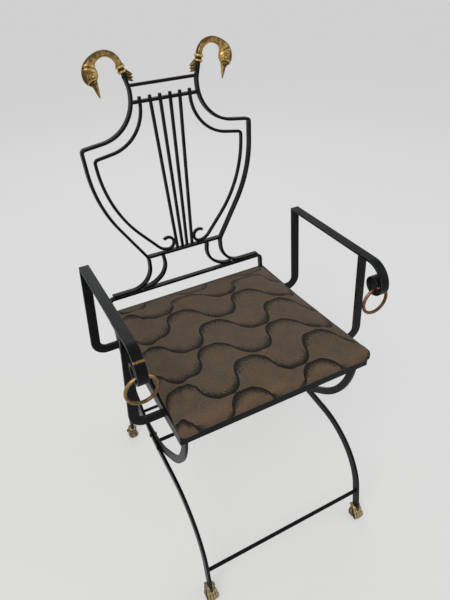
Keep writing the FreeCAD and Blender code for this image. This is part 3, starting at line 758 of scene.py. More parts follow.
def carry(path: np.ndarray, first: np.ndarray, second: np.ndarray, half_first: np.ndarray,
          half_second: np.ndarray, columns: int) -> np.ndarray:
    """Carry an oval along a path.

    A point is the path's point, plus the first direction times its half width and the cosine
    of the angle, plus the second direction times its half width and the sine.

    Args:
        path: Rows of points.
        first: Unit direction of each row, or one for all.
        second: The other direction, square to the first.
        half_first: Half widths along the first, per row or per point.
        half_second: Half widths along the second, per row or per point.
        columns: Points round the oval.

    Returns:
        Grid of points, rows by columns.
    """
    angle = full_turn(columns)
    first = np.broadcast_to(first, path.shape)[:, None, :]
    second = np.broadcast_to(second, path.shape)[:, None, :]
    half_first = np.asarray(half_first).reshape(len(path), -1)
    half_second = np.asarray(half_second).reshape(len(path), -1)
    return (path[:, None, :] + first * (half_first * np.cos(angle))[:, :, None]
            + second * (half_second * np.sin(angle))[:, :, None])


def hill(distance: np.ndarray, width: float, power: float = 2.0) -> np.ndarray:
    """Bell of height one: the natural exponent of minus the share of the width to the power."""
    return np.exp(-np.abs(distance / width) ** power)


def bells(distance: np.ndarray, shapes: Bells, power: float = 2.0) -> np.ndarray:
    """Add up bells given by place, height and width."""
    return sum(height * hill(distance - place, width, power) for place, height, width in shapes)


def squared_off(wave: np.ndarray, power: float = 0.7) -> np.ndarray:
    """Sign of a cosine or sine times its size to the power, which squares a circle off."""
    return np.sign(wave) * np.abs(wave) ** power


@dataclass(frozen=True)
class BackPlane:
    """The leaning plane of the lyre: across, rise along the lean, and proud to the front."""

    lean: float = 6.37
    foot_back: float = 186.2
    foot_tall: float = 450.0

    def place(self, points: np.ndarray, side: float) -> np.ndarray:
        """Set points of the plane into the chair.

        Y is the foot plus the rise times the sine of the lean, less the proud times its cosine;
        Z is the foot plus the rise times the cosine, plus the proud times the sine.

        Args:
            points: Across, rise and proud, in millimetres.
            side: Minus one for the side of negative x.

        Returns:
            Points in the chair's axes.
        """
        tilt = math.radians(self.lean)
        across, rise, proud = points[..., 0], points[..., 1], points[..., 2]
        back = self.foot_back + rise * math.sin(tilt) - proud * math.cos(tilt)
        tall = self.foot_tall + rise * math.cos(tilt) + proud * math.sin(tilt)
        return np.stack([across * side, back, tall], axis=-1)


@dataclass(frozen=True)
class SwanFinial:
    """Cast swan's neck and head over each frame bar, with two collars, a leaf and a screw.

    Its places are across and rise from the frame bar's top. Bells and beads are each a place,
    a height and a width, and a lobe is its root down the bar and its size.
    """

    plane: BackPlane
    top: tuple[float, float] = (78.0, 480.0)
    neck_foot: tuple[float, float] = (68.3, 443.0)
    neck: float = 6.0
    head: float = 14.5
    cheek: float = 9.5
    eye: tuple[float, float] = (54.0, -8.0)
    eye_bells: Bells = ((0.0, 0.9, 2.1), (3.6, -0.6, 1.1), (5.4, 0.45, 1.2), (7.4, -0.35, 1.2),
                        (9.2, 0.3, 1.2))
    brow_to_tip: float = 54.0
    brow_bow: float = 3.0
    brow_bells: Bells = ((0.0, 0.3, 2.0), (3.2, -0.3, 1.4), (5.6, 0.3, 1.4))
    beak_to_tip: float = 33.0
    beak_point: float = 4.5
    beak_bells: Bells = ((0.0, 0.7, 1.2), (2.6, -0.8, 1.2))
    mouth_to_tip: float = 31.0
    mouth_long: float = 26.0
    mouth_deep: float = 0.8
    ridge: float = 0.5
    nose_to_tip: float = 25.0
    nose_deep: float = 0.8
    hammered: float = 0.12
    tip_long: float = 6.0
    sleeve: tuple[float, float] = (-9.8, 6.0)
    beads: Bells = ((1.9, 2.5, 2.7), (-6.6, 2.0, 2.3), (-2.4, -0.5, 1.2))
    lobes: tuple[tuple[float, float], ...] = ((5.5, 1.0), (12.0, 0.92), (18.5, 0.8))
    lobe_long: float = 19.0
    lobe_wide: float = 5.6
    lobe_deep: float = 4.3
    lobe_thinner: float = 1.6
    lobe_root: float = 3.0
    rib: float = 0.42
    notch: float = 0.55
    screw_down: float = 17.0
    screw_root: float = 2.6
    screw_rim: float = 3.0
    screw_radius: float = 3.1
    screw_dome: float = 1.7
    cut_half: float = 0.45
    cut_deep: float = 0.5

    def bar_line(self) -> np.ndarray:
        """Direction of the frame bar up to the swan's foot."""
        return unit(np.array(self.top) - np.array(self.neck_foot))

    def stations(self) -> np.ndarray:
        """Offsets from the bar's top, half width in the plane and half thickness."""
        neck, head, cheek = self.neck, self.head, self.cheek
        return np.array([
            (0.8, 4.0, neck * 1.05, neck * 1.05), (5.0, 14.0, neck, neck),
            (10.5, 20.5, neck * 0.98, neck), (20.0, 25.6, neck * 0.98, neck),
            (31.5, 26.4, neck, neck), (42.5, 22.5, neck * 1.1, neck * 1.05),
            (51.5, 15.5, neck * 1.45, neck * 1.2), (56.3, 6.0, head * 0.86, cheek * 0.85),
            (56.8, -5.0, head, cheek), (55.0, -15.0, head * 0.83, cheek * 0.84),
            (51.5, -23.0, head * 0.4, cheek * 0.5), (49.4, -31.0, head * 0.26, cheek * 0.34),
            (47.9, -38.5, head * 0.18, cheek * 0.23), (46.6, -45.0, head * 0.07, cheek * 0.09)])

    def neck_and_head(self) -> Patch:
        """Sweep the neck and head, with brow, eye, cheek and beak raised on the oval.

        Each feature is a sum of bells of the distance from its own line or centre, added to the
        oval's half widths. The mouth and the ridge of the beak swell and close as half a sine.

        Returns:
            The swan without its collars.
        """
        rows, columns = 260, 72
        line = smooth_through(self.stations(), rows)
        path, outward = in_plane(line[:, 0], line[:, 1])
        base = carry(path, outward, Z_AXIS, line[:, 2], line[:, 3], columns)
        steps = np.linalg.norm(np.diff(path, axis=0), axis=1)
        walked = np.concatenate([[0.0], np.cumsum(steps)])[:, None]
        to_tip = walked[-1] - walked
        angle = full_turn(columns)[None, :]
        face, edge = np.abs(np.sin(angle)), np.cos(angle)
        from_eye = np.hypot(base[..., 0] - self.eye[0], base[..., 1] - self.eye[1])
        rise = (bells(self.brow_to_tip - to_tip + self.brow_bow * face, self.brow_bells)
                + face ** 0.7 * bells(from_eye, self.eye_bells)
                + bells(self.beak_to_tip - to_tip - self.beak_point * edge ** 2, self.beak_bells))
        swell = np.sin(math.pi * np.clip((self.mouth_to_tip - to_tip) / self.mouth_long, 0.0, 1.0))
        rise -= self.mouth_deep * hill(edge + 0.12, 0.13) * swell
        rise += self.ridge * hill(np.abs(edge) - 1.0, 0.12) * swell
        rise -= self.nose_deep * hill(to_tip - self.nose_to_tip, 2.2) * hill(edge - 0.42, 0.18)
        rise += self.hammered * np.sin(walked * 0.42 + 1.3) * np.sin(2.0 * angle + walked * 0.2)
        rise *= np.clip(to_tip / self.tip_long, 0.0, 1.0)
        points = carry(path, outward, Z_AXIS, line[:, 2:3] + rise, line[:, 3:4] + rise, columns)
        return Patch(points, 0.22 + 0.8 * rise + 0.3 * edge)

    def collars(self) -> Patch:
        """Turn two beads and the waist between them about the bar.

        The radius is the waist plus a flat-topped bell at each bead.

        Returns:
            The turned sleeve.
        """
        rows, columns = 90, 48
        line = self.bar_line()
        along = np.linspace(*self.sleeve, rows)
        waist = self.neck * 1.1
        radius = waist + bells(along, self.beads, 3.0)
        path = np.column_stack([np.outer(along, line), np.zeros(rows)])
        points = carry(path, np.array([line[1], -line[0], 0.0]), Z_AXIS, radius, radius, columns)
        worn = (radius - waist) / 2.2 * 0.9 - 0.15
        return Patch(points, np.repeat(worn[:, None], columns, axis=1))

    def lobe(self, place: float, share: float) -> Patch:
        """Curl one lobe of the leaf away from the bar.

        Its middle goes out from the bar and down it by the way along and a share of its cube.
        Its width swells and closes to a tip, its thickness thins, and ribs run along it as a
        cosine of seven times the angle.

        Args:
            place: Root of the lobe, down the bar from its top.
            share: Size of the lobe.

        Returns:
            The lobe.
        """
        rows, columns = 40, 36
        line = self.bar_line()
        inward = np.array([-line[1], line[0]])
        way = np.linspace(0.0, 1.0, rows)
        out = self.lobe_root + self.lobe_long * share * (0.6 * way + 0.1 * way ** 3)
        down = place + self.lobe_long * share * (0.74 * way - 0.08 * way ** 3)
        path, thin = in_plane(*(np.outer(inward, out) - np.outer(line, down)))
        half = self.lobe_wide * share * (0.8 + 0.5 * way - 0.6 * way ** 3)
        half = half * np.sqrt(1.0 - way ** 6 * 0.94)
        deep = (self.lobe_deep - self.lobe_thinner * way) * share * np.sqrt(1.0 - way ** 5 * 0.9)
        angle = full_turn(columns)[None, :]
        swell = np.sin(math.pi * np.clip(way * 1.1, 0.0, 1.0))[:, None]
        ribs = self.rib * np.cos(7.0 * (angle - math.pi / 2.0)) * swell
        notch = self.notch * np.cos(4.0 * math.pi * way)[:, None] * np.cos(angle) ** 4
        points = carry(path, Z_AXIS, thin, half[:, None] + notch * share, deep[:, None] + ribs * share,
                       columns)
        return Patch(points, 0.8 * ribs / self.rib + 0.9 * (way[:, None] - 0.75))

    def screw(self) -> Patch:
        """Dome a small slotted head on the bar's outer side, below the lower collar.

        The dome's radius is the head's times the cosine of a quarter turn, its height the sine.

        Returns:
            The head.
        """
        line = self.bar_line()
        outward, up = np.array([line[1], -line[0], 0.0]), np.array([*line, 0.0])
        turn = np.linspace(0.0, 0.5 * math.pi, 10)[:-1]
        reach = np.concatenate([[self.screw_root, self.screw_rim],
                                self.screw_rim + self.screw_dome * np.sin(turn)])
        radius = self.screw_radius * np.concatenate([[1.0, 1.0], np.cos(turn)])
        head = carry(outward * reach[:, None] - up * self.screw_down, up, Z_AXIS, radius, radius, 24)
        domed = (reach > self.screw_rim + 0.9)[:, None]
        cut = self.cut_deep * (domed & (np.abs(head[..., 2]) < self.cut_half))
        return Patch(head - outward * cut[..., None])

    def build(self, label: str, side: float, brass: bpy.types.Material, iron: bpy.types.Material) -> None:
        """Make one swan and its screw.

        Args:
            label: Side of the chair, left or right.
            side: Minus one for negative x.
            brass: Finish of the casting.
            iron: Finish of the screw.
        """
        leaf = [self.lobe(place, share) for place, share in self.lobes]
        patches = [self.placed(p, side) for p in [self.neck_and_head(), self.collars(), *leaf]]
        swan = cast("swan_casting_" + label, patches, brass, "chair")
        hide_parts("swan_" + label)
        cast("swan_screw_" + label, [self.placed(self.screw(), side)], iron, "chair")

    def placed(self, patch: Patch, side: float) -> Patch:
        """Move a patch from the swan's own corner into the chair."""
        return replace(patch, points=self.plane.place(patch.points + np.array([*self.top, 0.0]), side))


@dataclass(frozen=True)
class LionPaw:
    """Cast paw: four long toes that fan out from the ankle, a heel and a flared leaf behind."""

    wide: float = 28.0
    tall: float = 29.0
    toe: float = 17.0
    heel: float = 15.0
    reach: float = 240.0
    toes: int = 4
    knuckles: Bells = ((0.42, 0.55, 0.09), (0.74, 0.5, 0.08), (0.58, -0.5, 0.06))
    lip_from: float = 25.0
    lip_tall: float = 4.0
    scallop: float = 0.10
    hair: float = 0.025
    leaf_half: float = 6.4
    leaf_rib: float = 0.3

    def toe_patch(self, lane: float) -> Patch:
        """Carry an oval down one toe from the ankle to the floor, with two knuckles and a claw.

        A station is the place to the front, the height, two half widths and the spread of the
        toes there. The knuckles are bells of the way along the toe.

        Args:
            lane: Place across the paw, from minus one to one.

        Returns:
            The toe.
        """
        rows, columns = 60, 28
        front, tall = self.toe - 1.6 * lane ** 2, self.tall
        line = smooth_through(np.array([
            (-2.0, tall - 3.0, 3.2, 3.2, 0.42), (2.5, tall * 0.76, 3.6, 3.8, 0.50),
            (front * 0.42, tall * 0.56, 3.9, 4.4, 0.57), (front * 0.66, tall * 0.38, 4.1, 4.9, 0.62),
            (front * 0.80, tall * 0.20, 4.0, 4.3, 0.64), (front * 0.88, tall * 0.10, 3.0, 3.0, 0.63)]), rows)
        path = np.column_stack([lane * self.wide * 0.5 * line[:, 4], -line[:, 0], line[:, 1]])
        along = direction(path)
        thick = unit(np.cross(along, X_AXIS))
        across = unit(np.cross(thick, along))
        knuckle = bells(np.linspace(0.0, 1.0, rows)[:, None], self.knuckles)
        points = carry(path, across, thick, line[:, 2:3] + knuckle * 0.5, line[:, 3:4] + knuckle, columns)
        points[..., 2] = np.maximum(points[..., 2], 0.0)
        side = np.abs(np.cos(full_turn(columns)))[None, :]
        return Patch(points, 0.75 - 2.2 * side ** 3 + knuckle * 0.6)

    def ankle(self) -> Patch:
        """Stack rounded blocks from the sole to a flared lip about the leg bar.

        A block is a squared circle, times the paw's width across and the heel's length along. A
        station is the height, nothing, the two shares of these, and how far back it lies. The
        lip is scalloped by a cosine of six times the angle, and hair below it by eleven times.

        Returns:
            The ankle and heel.
        """
        rows, columns = 56, 56
        line = smooth_through(np.array([
            (0.0, 0.0, 0.40, 0.70, 1.5), (3.0, 0.0, 0.44, 0.80, 1.0), (8.0, 0.0, 0.42, 0.78, 1.2),
            (14.0, 0.0, 0.37, 0.66, 1.6), (20.0, 0.0, 0.31, 0.56, 1.8), (24.5, 0.0, 0.29, 0.55, 2.0),
            (27.5, 0.0, 0.33, 0.64, 2.0), (self.tall, 0.0, 0.38, 0.76, 2.0)]), rows)
        height, _, wide, deep, behind = (line[:, i:i + 1] for i in range(5))
        angle = full_turn(columns)[None, :]
        lip = np.clip((height - self.lip_from) / self.lip_tall, 0.0, 1.0)
        hair = self.hair * np.cos(11.0 * angle + height * 0.25) * (1.0 - lip)
        outline = 1.0 + self.scallop * lip * np.cos(6.0 * angle) + hair
        across = self.wide * wide * squared_off(np.cos(angle)) * outline
        along = self.heel * deep * squared_off(np.sin(angle)) * outline + behind
        points = np.stack([across, along, np.broadcast_to(height, across.shape)], axis=-1)
        return Patch(points, 0.15 + 9.0 * hair + 0.7 * lip - 0.5 * hill(height - 23.0, 3.0))

    def leaf(self) -> Patch:
        """Raise a small leaf behind the ankle that flares away from the leg at its tip.

        Its half width is the root of one less a square about its widest place, and ribs run
        along it as a cosine of five times the angle.

        Returns:
            The leaf.
        """
        rows, columns = 36, 28
        way = np.linspace(0.0, 1.0, rows)
        path = np.column_stack([np.zeros(rows), 8.2 + 5.4 * way ** 2.6, 8.0 + 20.0 * way - 2.0 * way ** 6])
        half = self.leaf_half * np.sqrt(np.clip(1.0 - (way * 1.55 - 0.6) ** 2, 0.02, 1.0))
        thick = unit(np.cross(direction(path), X_AXIS))
        angle = full_turn(columns)[None, :]
        ribs = self.leaf_rib * np.cos(5.0 * (angle - math.pi / 2.0)) * np.sin(math.pi * way)[:, None]
        points = carry(path, X_AXIS, thick, half, (1.5 - 0.8 * way)[:, None] + ribs, columns)
        return Patch(points, 0.3 + 2.2 * ribs)

    def build(self, label: str, end: float, brass: bpy.types.Material) -> None:
        """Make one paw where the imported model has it.

        Args:
            label: End and side of the chair, as in front_left.
            end: Minus one for the front.
            brass: Finish of the casting.
        """
        low, high = box_of("paw_" + label)
        turn = np.array([-end, -end, 1.0])
        place = np.array([(low.x + high.x) / 2.0, end * self.reach, 0.0])
        toes = [self.toe_patch(lane) for lane in np.linspace(-1.0, 1.0, self.toes)]
        patches = [replace(p, points=p.points * turn + place) for p in [self.ankle(), self.leaf(), *toes]]
        paw = cast("paw_casting_" + label, patches, brass, "chair")
        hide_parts("paw_" + label)


@dataclass(frozen=True)
class ArmRing:
    """Bright round-wire ring that swings in the scroll of each arm."""

    radius: float = 27.0
    wire: float = 3.2
    worn_deep: float = 0.12
    rows: int = 120
    columns: int = 28

    def build(self, label: str, finish: bpy.types.Material) -> None:
        """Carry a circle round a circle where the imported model's ring hangs.

        The wire loses a little of its radius at the top of the ring, where it rubs the scroll.

        Args:
            label: Side of the chair.
            finish: Finish of the wire.
        """
        low, high = box_of("ring_" + label)
        turn = full_turn(self.rows)
        outward = np.column_stack([np.sin(turn), np.zeros(self.rows), np.cos(turn)])
        half = self.wire - self.worn_deep * hill((turn + math.pi) % (2.0 * math.pi) - math.pi, 0.25)
        path = np.array((low + high) / 2.0) + outward * self.radius
        points = carry(path, outward, Y_AXIS, half, half, self.columns)
        worn = np.broadcast_to(0.2 + 0.25 * np.cos(full_turn(self.columns)), (self.rows, self.columns))
        ring = cast("ring_wire_" + label, [Patch(points, worn, looped=True)], finish,
                    "ring_" + label)
        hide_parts("ring_" + label)


@dataclass(frozen=True)
class WroughtFrame:
    """All painted bars and rods: each node's shape with its sharp edges rounded and marked for wear and a
    painted highlight.

    An edge is sharp, flat or creased by the angle between its faces, in degrees.
    """

    rounding: float = 1.0
    sharp: float = 35.0
    flat: float = 0.2
    crease: float = 40.0
    merge: float = 0.002

    def build(self, node: str, iron: bpy.types.Material) -> None:
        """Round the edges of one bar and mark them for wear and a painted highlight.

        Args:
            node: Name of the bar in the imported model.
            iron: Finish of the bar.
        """
        source = frame["nodes"][node]
        build = bmesh.new()
        build.from_mesh(source.data)
        bmesh.ops.remove_doubles(build, verts=build.verts, dist=self.merge * MM)
        bmesh.ops.dissolve_limit(build, angle_limit=math.radians(self.flat), verts=build.verts,
                                 edges=build.edges)
        sharp = math.radians(self.sharp)
        edges = [e for e in build.edges if e.is_manifold and e.calc_face_angle(0.0) > sharp]
        rounded = bmesh.ops.bevel(build, geom=edges, offset=self.rounding * MM, offset_type="OFFSET",
                                  segments=2, profile=0.5, affect="EDGES", clamp_overlap=True)
        # the rounded edges, shown by the paint as wear and a painted highlight
        layer = build.verts.layers.float.new("edge_wear_and_highlight")
        round_faces = set(rounded["faces"])
        for vert in {v for face in round_faces for v in face.verts}:
            vert[layer] = 1.0 if all(face in round_faces for face in vert.link_faces) else 0.0
        mesh = bpy.data.meshes.new("bar_" + node)
        build.to_mesh(mesh)
        build.free()
        shade_smooth(mesh)
        mesh.set_sharp_from_angle(angle=math.radians(self.crease))
        bar = finished("bar_" + node, mesh, iron, body_of(source)[0])
        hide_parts(node)
        weighted = bar.modifiers.new("even", "WEIGHTED_NORMAL")
        weighted.keep_sharp = True


@dataclass(frozen=True)
class SeatCushion:
    """Padded cloth pad on the seat board, swollen by cloth pressure."""

    slack: float = 2.0
    walk: int = 240
    rear_share: float = 0.9
    corner: float = 9.0
    bow: float = 1.5
    crown: float = 8.0
    roll_side: float = 16.0
    roll_front: float = 26.0
    roll_rear: float = 30.0
    roll_tall: float = 19.0
    front_more: float = 6.0
    rear_less: float = 1.0
    droop: float = 7.0
    board_rear: float = 171.0
    hem: float = 0.28
    hem_gap: float = 0.3
    rear_edge: float = 461.6
    rear_slope: float = 0.45
    rear_reach: float = 1.9
    bend_least: float = 1.0
    bend_most: float = 6.0
    bend_rate: float = 0.1
    rail_front: float = -193.0
    rail_half: float = 198.5
    dip: float = 2.2
    dip_wide: float = 95.0
    dip_back: float = 10.0
    ripple: float = 0.6
    recess: float = 460.4
    board_gap: float = 1.2
    clear: float = 0.1
    upper_from: float = 14.0
    upper_soft: float = 10.0
    lower_tall: float = 16.0
    droop_from: float = 1.5
    droop_soft: float = 4.0
    wrap: float = 0.75
    voxel: float = 4.5
    pressure: float = 4.0
    held_tall: float = 12.0
    frames: int = 20
    cap: float = 6.0

    def outline(self, way: np.ndarray, low: Vector, high: Vector, side: float, front: float,
                rear: float) -> np.ndarray:
        """Walk round the pad: a square with rounded corners, narrower at the rear.

        The walk goes round a plain square. A core point is the walk held to a smaller square,
        short of the sides by the corner radius, and the result is the core plus the radius
        along the direction from the core to the walk. Each side is then drawn in by a bow that
        is greatest at its middle, and the width shrinks evenly to the rear.

        Args:
            way: Share of the walk, from nought to one.
            low: Lowest corner of the pad's box in millimetres.
            high: Highest corner.
            side: How far inside the side edges.
            front: How far inside the front edge.
            rear: How far inside the rear edge.

        Returns:
            X and y of the walk.
        """
        first, last = low.y - self.front_more + front, high.y - self.rear_less - rear
        half = np.array([high.x - side, (last - first) / 2.0])
        corner = min(self.corner, 0.9 * half.min())
        turn = 8.0 * way
        square = np.stack([np.clip(np.abs((turn - 1.0) % 8.0 - 4.0) - 2.0, -1.0, 1.0),
                           np.clip(2.0 - np.abs((turn - 3.0) % 8.0 - 4.0), -1.0, 1.0)], axis=-1) * half
        core = np.clip(square, corner - half, half - corner)
        points = core + corner * unit(square - core)
        share = points / half
        points = points - self.bow * (1.0 - share[:, ::-1] ** 2) * np.sign(share) * np.abs(share) ** 6
        depth = points[:, 1] + (first + last) / 2.0
        narrow = 1.0 - (1.0 - self.rear_share) * (depth - low.y) / (high.y - low.y)
        return np.stack([points[:, 0] * narrow, depth], axis=-1)

    def shell(self) -> bpy.types.Mesh:
        """Draw the closed pad before it swells: crown, rolled edge, skirt and recess for the board.

        Each row is the outline at one set of insets and one height, from the middle of the top
        out over the roll, down the side, under the skirt and up into the recess to the middle
        again. The roll is a quarter of an oval, wider at the front and rear than at the sides.

        Returns:
            The mesh, with its poles closed.
        """
        low, high = box_of("seat_cushion")
        board_low, board_high = box_of("seat_board")
        top = high.z - self.crown - self.slack
        middle = np.array([high.x, (high.y - low.y) / 2.0, (high.y - low.y) / 2.0])
        rolls = np.array([self.roll_side, self.roll_front, self.roll_rear])
        way = np.linspace(0.0, 1.0, 26)[1:, None]
        quarter = np.linspace(0.0, 0.5 * math.pi, 10)[1:, None]
        crown_in = middle * 0.999 * (1.0 - way) + rolls * way
        crown_z = top + self.crown * (1.0 - way ** 2.4)
        roll_in = rolls * (1.0 - np.sin(quarter))
        roll_z = top - self.roll_tall * (1.0 - np.cos(quarter))
        wall_z = np.linspace(top - self.roll_tall, low.z + 1.5, 5)[1:, None]
        edge = np.array([high.x - board_high.x, board_low.y - low.y + self.front_more,
                         high.y - self.rear_less - board_high.y]) - self.board_gap
        under_in = np.stack([np.ones(3), edge, edge, edge + 30.0, 0.6 * middle])
        under_z = np.array([low.z + self.clear] * 2 + [self.recess] * 3)[:, None]
        insets = np.vstack([crown_in, roll_in, np.zeros((4, 3)), under_in, middle * 0.97]) + self.slack * 0.5
        heights = np.vstack([crown_z, roll_z, wall_z, under_z, [[self.recess]]])[:, 0]
        walk = np.linspace(0.0, 1.0, self.walk, endpoint=False)
        rows = [np.column_stack([self.outline(walk, low, high, *inset), np.full(self.walk, tall)])
                for inset, tall in zip(insets, heights)]
        return meshed("seat_pad", [Patch(np.stack(rows))])

    def swell(self, pad: bpy.types.Object) -> None:
        """Remesh the pad evenly and let cloth pressure fill it, the underside held still.

        No point may move further than the cap.

        Args:
            pad: The pad.
        """
        low, _ = box_of("seat_cushion")
        remesh = pad.modifiers.new("even", "REMESH")
        remesh.mode = "VOXEL"
        remesh.voxel_size = self.voxel * MM
        apply_modifiers(pad)
        smooth = pad.modifiers.new("soften", "SMOOTH")
        smooth.factor = 0.5
        smooth.iterations = 3
        apply_modifiers(pad)
        start = points_of(pad.data)
        under = pad.vertex_groups.new(name="held")
        held = np.nonzero(start[:, 2] < low.z + self.held_tall)[0]
        under.add(held.tolist(), 1.0, "REPLACE")
        cloth = pad.modifiers.new("cloth", "CLOTH")
        cloth.settings.use_pressure = True
        cloth.settings.uniform_pressure_force = self.pressure
        cloth.settings.effector_weights.gravity = 0.0
        cloth.settings.vertex_group_mass = "held"
        scene = bpy.context.scene
        for number in range(1, self.frames + 1):
            scene.frame_set(number)
        apply_modifiers(pad)
        scene.frame_set(1)
        moved = points_of(pad.data) - start
        far = np.linalg.norm(moved, axis=1, keepdims=True)
        moved *= np.minimum(1.0, self.cap / np.maximum(far, 1e-6))
        set_points(pad.data, start + moved)

    def fit(self, pad: bpy.types.Object) -> None:
        """Give the pad the dip of a used seat, a tight rear hem and a lower edge that droops.

        The dip is a bell, and a product of two sines makes ripples. Behind the board the hem is
        drawn in. A roof slopes down to the rear, and the top loses the bend times the logarithm
        of one plus the exponent of what stands above it over the bend. Outside the rails the
        lower edge hangs down.

        Args:
            pad: The pad.
        """
        low, high = box_of("seat_cushion")
        points = points_of(pad.data)
        upper = np.clip((points[:, 2] - (high.z - self.upper_from)) / self.upper_soft, 0.0, 1.0)
        worn = hill(np.hypot(points[:, 0], points[:, 1] - self.dip_back), self.dip_wide)
        points[:, 2] -= upper * self.dip * worn
        ripple = np.sin(points[:, 0] * 0.045 + 1.0) * np.sin(points[:, 1] * 0.05 + 0.6)
        points[:, 2] += upper * self.ripple * ripple
        points[:, 2] = np.clip(points[:, 2], low.z + self.clear, high.z)
        behind = self.board_rear + self.hem_gap
        points[:, 1] -= np.maximum(points[:, 1] - behind, 0.0) * (1.0 - self.hem)
        roof = self.rear_edge + self.rear_slope * (self.board_rear + self.rear_reach - points[:, 1])
        bend = self.bend_least + self.bend_rate * (behind - points[:, 1])
        bend = np.clip(bend, self.bend_least, self.bend_most)
        points[:, 2] -= bend * np.logaddexp(0.0, (points[:, 2] - roof) / bend)
        points[:, 2] = np.maximum(points[:, 2], low.z + self.clear)
        over = np.maximum(self.rail_front - points[:, 1], np.abs(points[:, 0]) - self.rail_half)
        lower = np.clip(1.0 - (points[:, 2] - low.z) / self.lower_tall, 0.0, 1.0)
        points[:, 2] -= self.droop * np.clip((over - self.droop_from) / self.droop_soft, 0.0, 1.0) * lower
        set_points(pad.data, points)

    def lay_cloth(self, pad: bpy.types.Object) -> None:
        """Store where each point lies on the flat cover, in metres.

        On top the cover's place is x and y. Over an edge it goes on by a share of the drop
        below the top, away from the middle, split between the axes as the face there points.

        Args:
            pad: The pad.
        """
        _, high = box_of("seat_cushion")
        mesh = pad.data
        points = points_of(mesh)
        normals = np.zeros(len(mesh.vertices) * 3)
        mesh.vertices.foreach_get("normal", normals)
        normals = normals.reshape(-1, 3)
        drop = np.clip(high.z - self.crown - points[:, 2], 0.0, None)
        level = normals[:, :2] / np.maximum(np.linalg.norm(normals[:, :2], axis=1, keepdims=True), 0.25)
        share = np.sign(level) * level ** 2
        flat = np.column_stack([points[:, :2] + self.wrap * share * drop[:, None], np.zeros(len(points))])
        store = mesh.attributes.new("cloth", "FLOAT_VECTOR", "POINT")
        store.data.foreach_set("vector", (flat * MM).ravel())

    def build(self, cloth: bpy.types.Material) -> None:
        """Make the cushion.

        Args:
            cloth: Finish of the cover.
        """
        pad = finished("seat_pad", self.shell(), cloth, "chair")
        self.swell(pad)
        self.fit(pad)
        dress(pad.data, cloth)
        shade_smooth(pad.data)
        self.lay_cloth(pad)
        finer = pad.modifiers.new("finer", "SUBSURF")
        finer.levels = finer.render_levels = 1
        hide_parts("seat_cushion")


def apply_modifiers(piece: bpy.types.Object) -> None:
    """Make the piece's mesh what its modifiers give, and take them off."""
    bpy.context.view_layer.update()
    shaped = piece.evaluated_get(bpy.context.evaluated_depsgraph_get())
    mesh = bpy.data.meshes.new_from_object(shaped)
    piece.modifiers.clear()
    piece.data = mesh


def points_of(mesh: bpy.types.Mesh) -> np.ndarray:
    """Read a mesh's points in millimetres."""
    flat = np.zeros(len(mesh.vertices) * 3)
    mesh.vertices.foreach_get("co", flat)
    return flat.reshape(-1, 3) / MM


def set_points(mesh: bpy.types.Mesh, points: np.ndarray) -> None:
    """Write a mesh's points, given in millimetres."""
    mesh.vertices.foreach_set("co", (points * MM).ravel())
    mesh.update()


@dataclass(frozen=True)
class Lamp:
    """One soft square lamp: its place and width in metres, and its power in watts."""

    name: str
    place: tuple[float, float, float]
    wide: float
    power: float
    tint: tuple[float, float, float]

    def hang(self, aim: Vector) -> None:
        """Hang the lamp so that it faces the aim.

        Args:
            aim: Point to light, in metres.
        """
        data = bpy.data.lights.new(self.name, "AREA")
        data.size = self.wide
        data.energy = self.power
        data.color = self.tint
        place = Vector(self.place)
        facing = (aim - place).to_track_quat("-Z", "Y").to_matrix().to_4x4()
        put(self.name, data).matrix_world = Matrix.Translation(place) @ facing


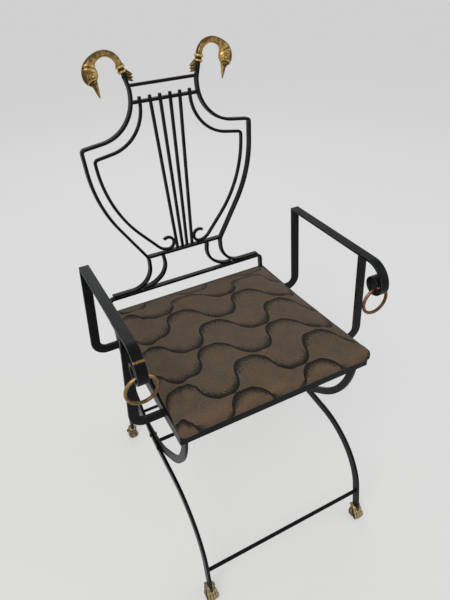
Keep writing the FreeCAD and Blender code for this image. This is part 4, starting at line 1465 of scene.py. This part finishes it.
@dataclass(frozen=True)
class Studio:
    """Pale floor, soft lamps and the camera at the photograph's place."""

    eye: tuple[float, float, float] = (-385.11, -748.10, 1135.71)
    yaw: float = 26.813
    pitch: float = -35.579
    roll: float = -2.256
    lens: float = 31.82
    film: float = 36.0
    floor: Colour = colour(212, 211, 208)
    floor_cloud: Colour = colour(206, 206, 204)
    floor_half: float = 30.0
    floor_grain: float = 400.0
    glow: Colour = (1.0, 1.0, 1.0, 1.0)
    sky: Colour = (0.97, 0.98, 1.0, 1.0)
    lift: float = 0.45
    sky_light: float = 0.5
    sky_shown: float = 0.78
    aim: tuple[float, float, float] = (0.0, 0.0, 0.5)
    lamps: tuple[Lamp, ...] = (
        Lamp("key", (-1.6, -1.3, 2.4), 1.4, 27.0, (1.0, 0.985, 0.96)),
        Lamp("fill", (2.0, -1.0, 1.6), 1.6, 8.0, (0.93, 0.96, 1.0)),
        Lamp("rim", (0.6, 2.2, 2.2), 1.2, 11.0, (0.95, 0.97, 1.0)))

    def camera(self) -> None:
        """Aim the camera by yaw from the back direction, pitch from level and roll about the view."""
        yaw, pitch, roll = (math.radians(v) for v in (self.yaw, self.pitch, self.roll))
        ahead = Vector((math.sin(yaw) * math.cos(pitch), math.cos(yaw) * math.cos(pitch), math.sin(pitch)))
        level = Vector((math.cos(yaw), -math.sin(yaw), 0.0))
        above = level.cross(ahead)
        right = level * math.cos(roll) + above * math.sin(roll)
        up = above * math.cos(roll) - level * math.sin(roll)
        data = bpy.data.cameras.new("photograph")
        data.sensor_fit = "VERTICAL"
        data.sensor_height = self.film
        data.lens = self.lens
        data.clip_end = 100.0
        camera = put("photograph", data)
        turn = Matrix((right, up, -ahead)).transposed().to_4x4()
        camera.matrix_world = Matrix.Translation(Vector(self.eye) * MM) @ turn
        bpy.context.scene.camera = camera

    def ground(self) -> None:
        """Lay a wide pale floor."""
        sheet = NodeSheet("studio_floor")
        tone = sheet.blend(sheet.noise(self.floor_grain, 3.0), self.floor, self.floor_cloud)
        matt = sheet.node("ShaderNodeBsdfPrincipled", {}, {
            "Base Color": tone, "Roughness": 0.85, "Specular IOR Level": 0.2})
        glow = sheet.node("ShaderNodeEmission", {}, {"Color": self.glow, "Strength": 1.0})
        shader = sheet.node("ShaderNodeMixShader", {}, {
            0: sheet.seen() * self.lift, 1: matt.outputs[0], 2: glow.outputs[0]})
        mesh = bpy.data.meshes.new("studio_floor")
        half = self.floor_half
        corners = [(-half, -half, 0.0), (half, -half, 0.0), (half, half, 0.0), (-half, half, 0.0)]
        mesh.from_pydata(corners, [], [(0, 1, 2, 3)])
        dress(mesh, sheet.close(shader))
        floor = put("studio_floor", mesh)

    def light(self) -> None:
        """Light the chair by a plain sky and the lamps; camera, mirrors and glass see a paler sky."""
        world = bpy.data.worlds.new("studio")
        bpy.context.scene.world = world
        sheet = NodeSheet("studio", world)
        lit, shown = (sheet.node("ShaderNodeBackground", {}, {"Color": self.sky, "Strength": strength})
                      for strength in (self.sky_light, self.sky_shown))
        mixed = sheet.node("ShaderNodeMixShader", {}, {
            0: sheet.seen(), 1: lit.outputs[0], 2: shown.outputs[0]})
        sheet.node("ShaderNodeOutputWorld", {}, {"Surface": mixed.outputs[0]})
        for lamp in self.lamps:
            lamp.hang(Vector(self.aim))

    def build(self) -> None:
        """Set up camera, floor and light, with colours shown as they are."""
        bpy.context.scene.view_settings.view_transform = "Standard"
        self.camera()
        self.ground()
        self.light()


def main() -> None:
    """Build the studio and every piece in order."""
    logging.basicConfig(level=logging.INFO, format="%(message)s")
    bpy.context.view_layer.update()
    Studio().build()
    iron = BlackIron().material()
    brass = CastBrass().material()
    pale = CastBrass("paw_brass", colour(168, 150, 112), colour(88, 74, 50), colour(30, 25, 19)).material()
    golden = CastBrass("ring_brass", colour(166, 136, 92), colour(98, 76, 50), colour(48, 36, 25), 0.6)
    copper = CastBrass("ring_copper", colour(150, 110, 84), colour(92, 64, 48), colour(44, 30, 23), 0.6)
    SeatCushion().build(WavedCloth().material())
    dress(frame["nodes"]["seat_board"].data, Plywood().material())
    swan = SwanFinial(BackPlane())
    for label, side in (("left", -1.0), ("right", 1.0)):
        swan.build(label, side, brass, iron)
    for end, sense in (("front", -1.0), ("rear", 1.0)):
        for label in ("left", "right"):
            LionPaw().build(end + "_" + label, sense, pale)
    ArmRing().build("left", golden.material())
    ArmRing().build("right", copper.material())
    soft_or_cast = ("seat_cushion", "seat_board", "swan", "paw", "ring")
    for node in sorted(n for n in frame["nodes"] if not n.startswith(soft_or_cast)):
        WroughtFrame().build(node, iron)


if __name__ == "__main__":
    main()
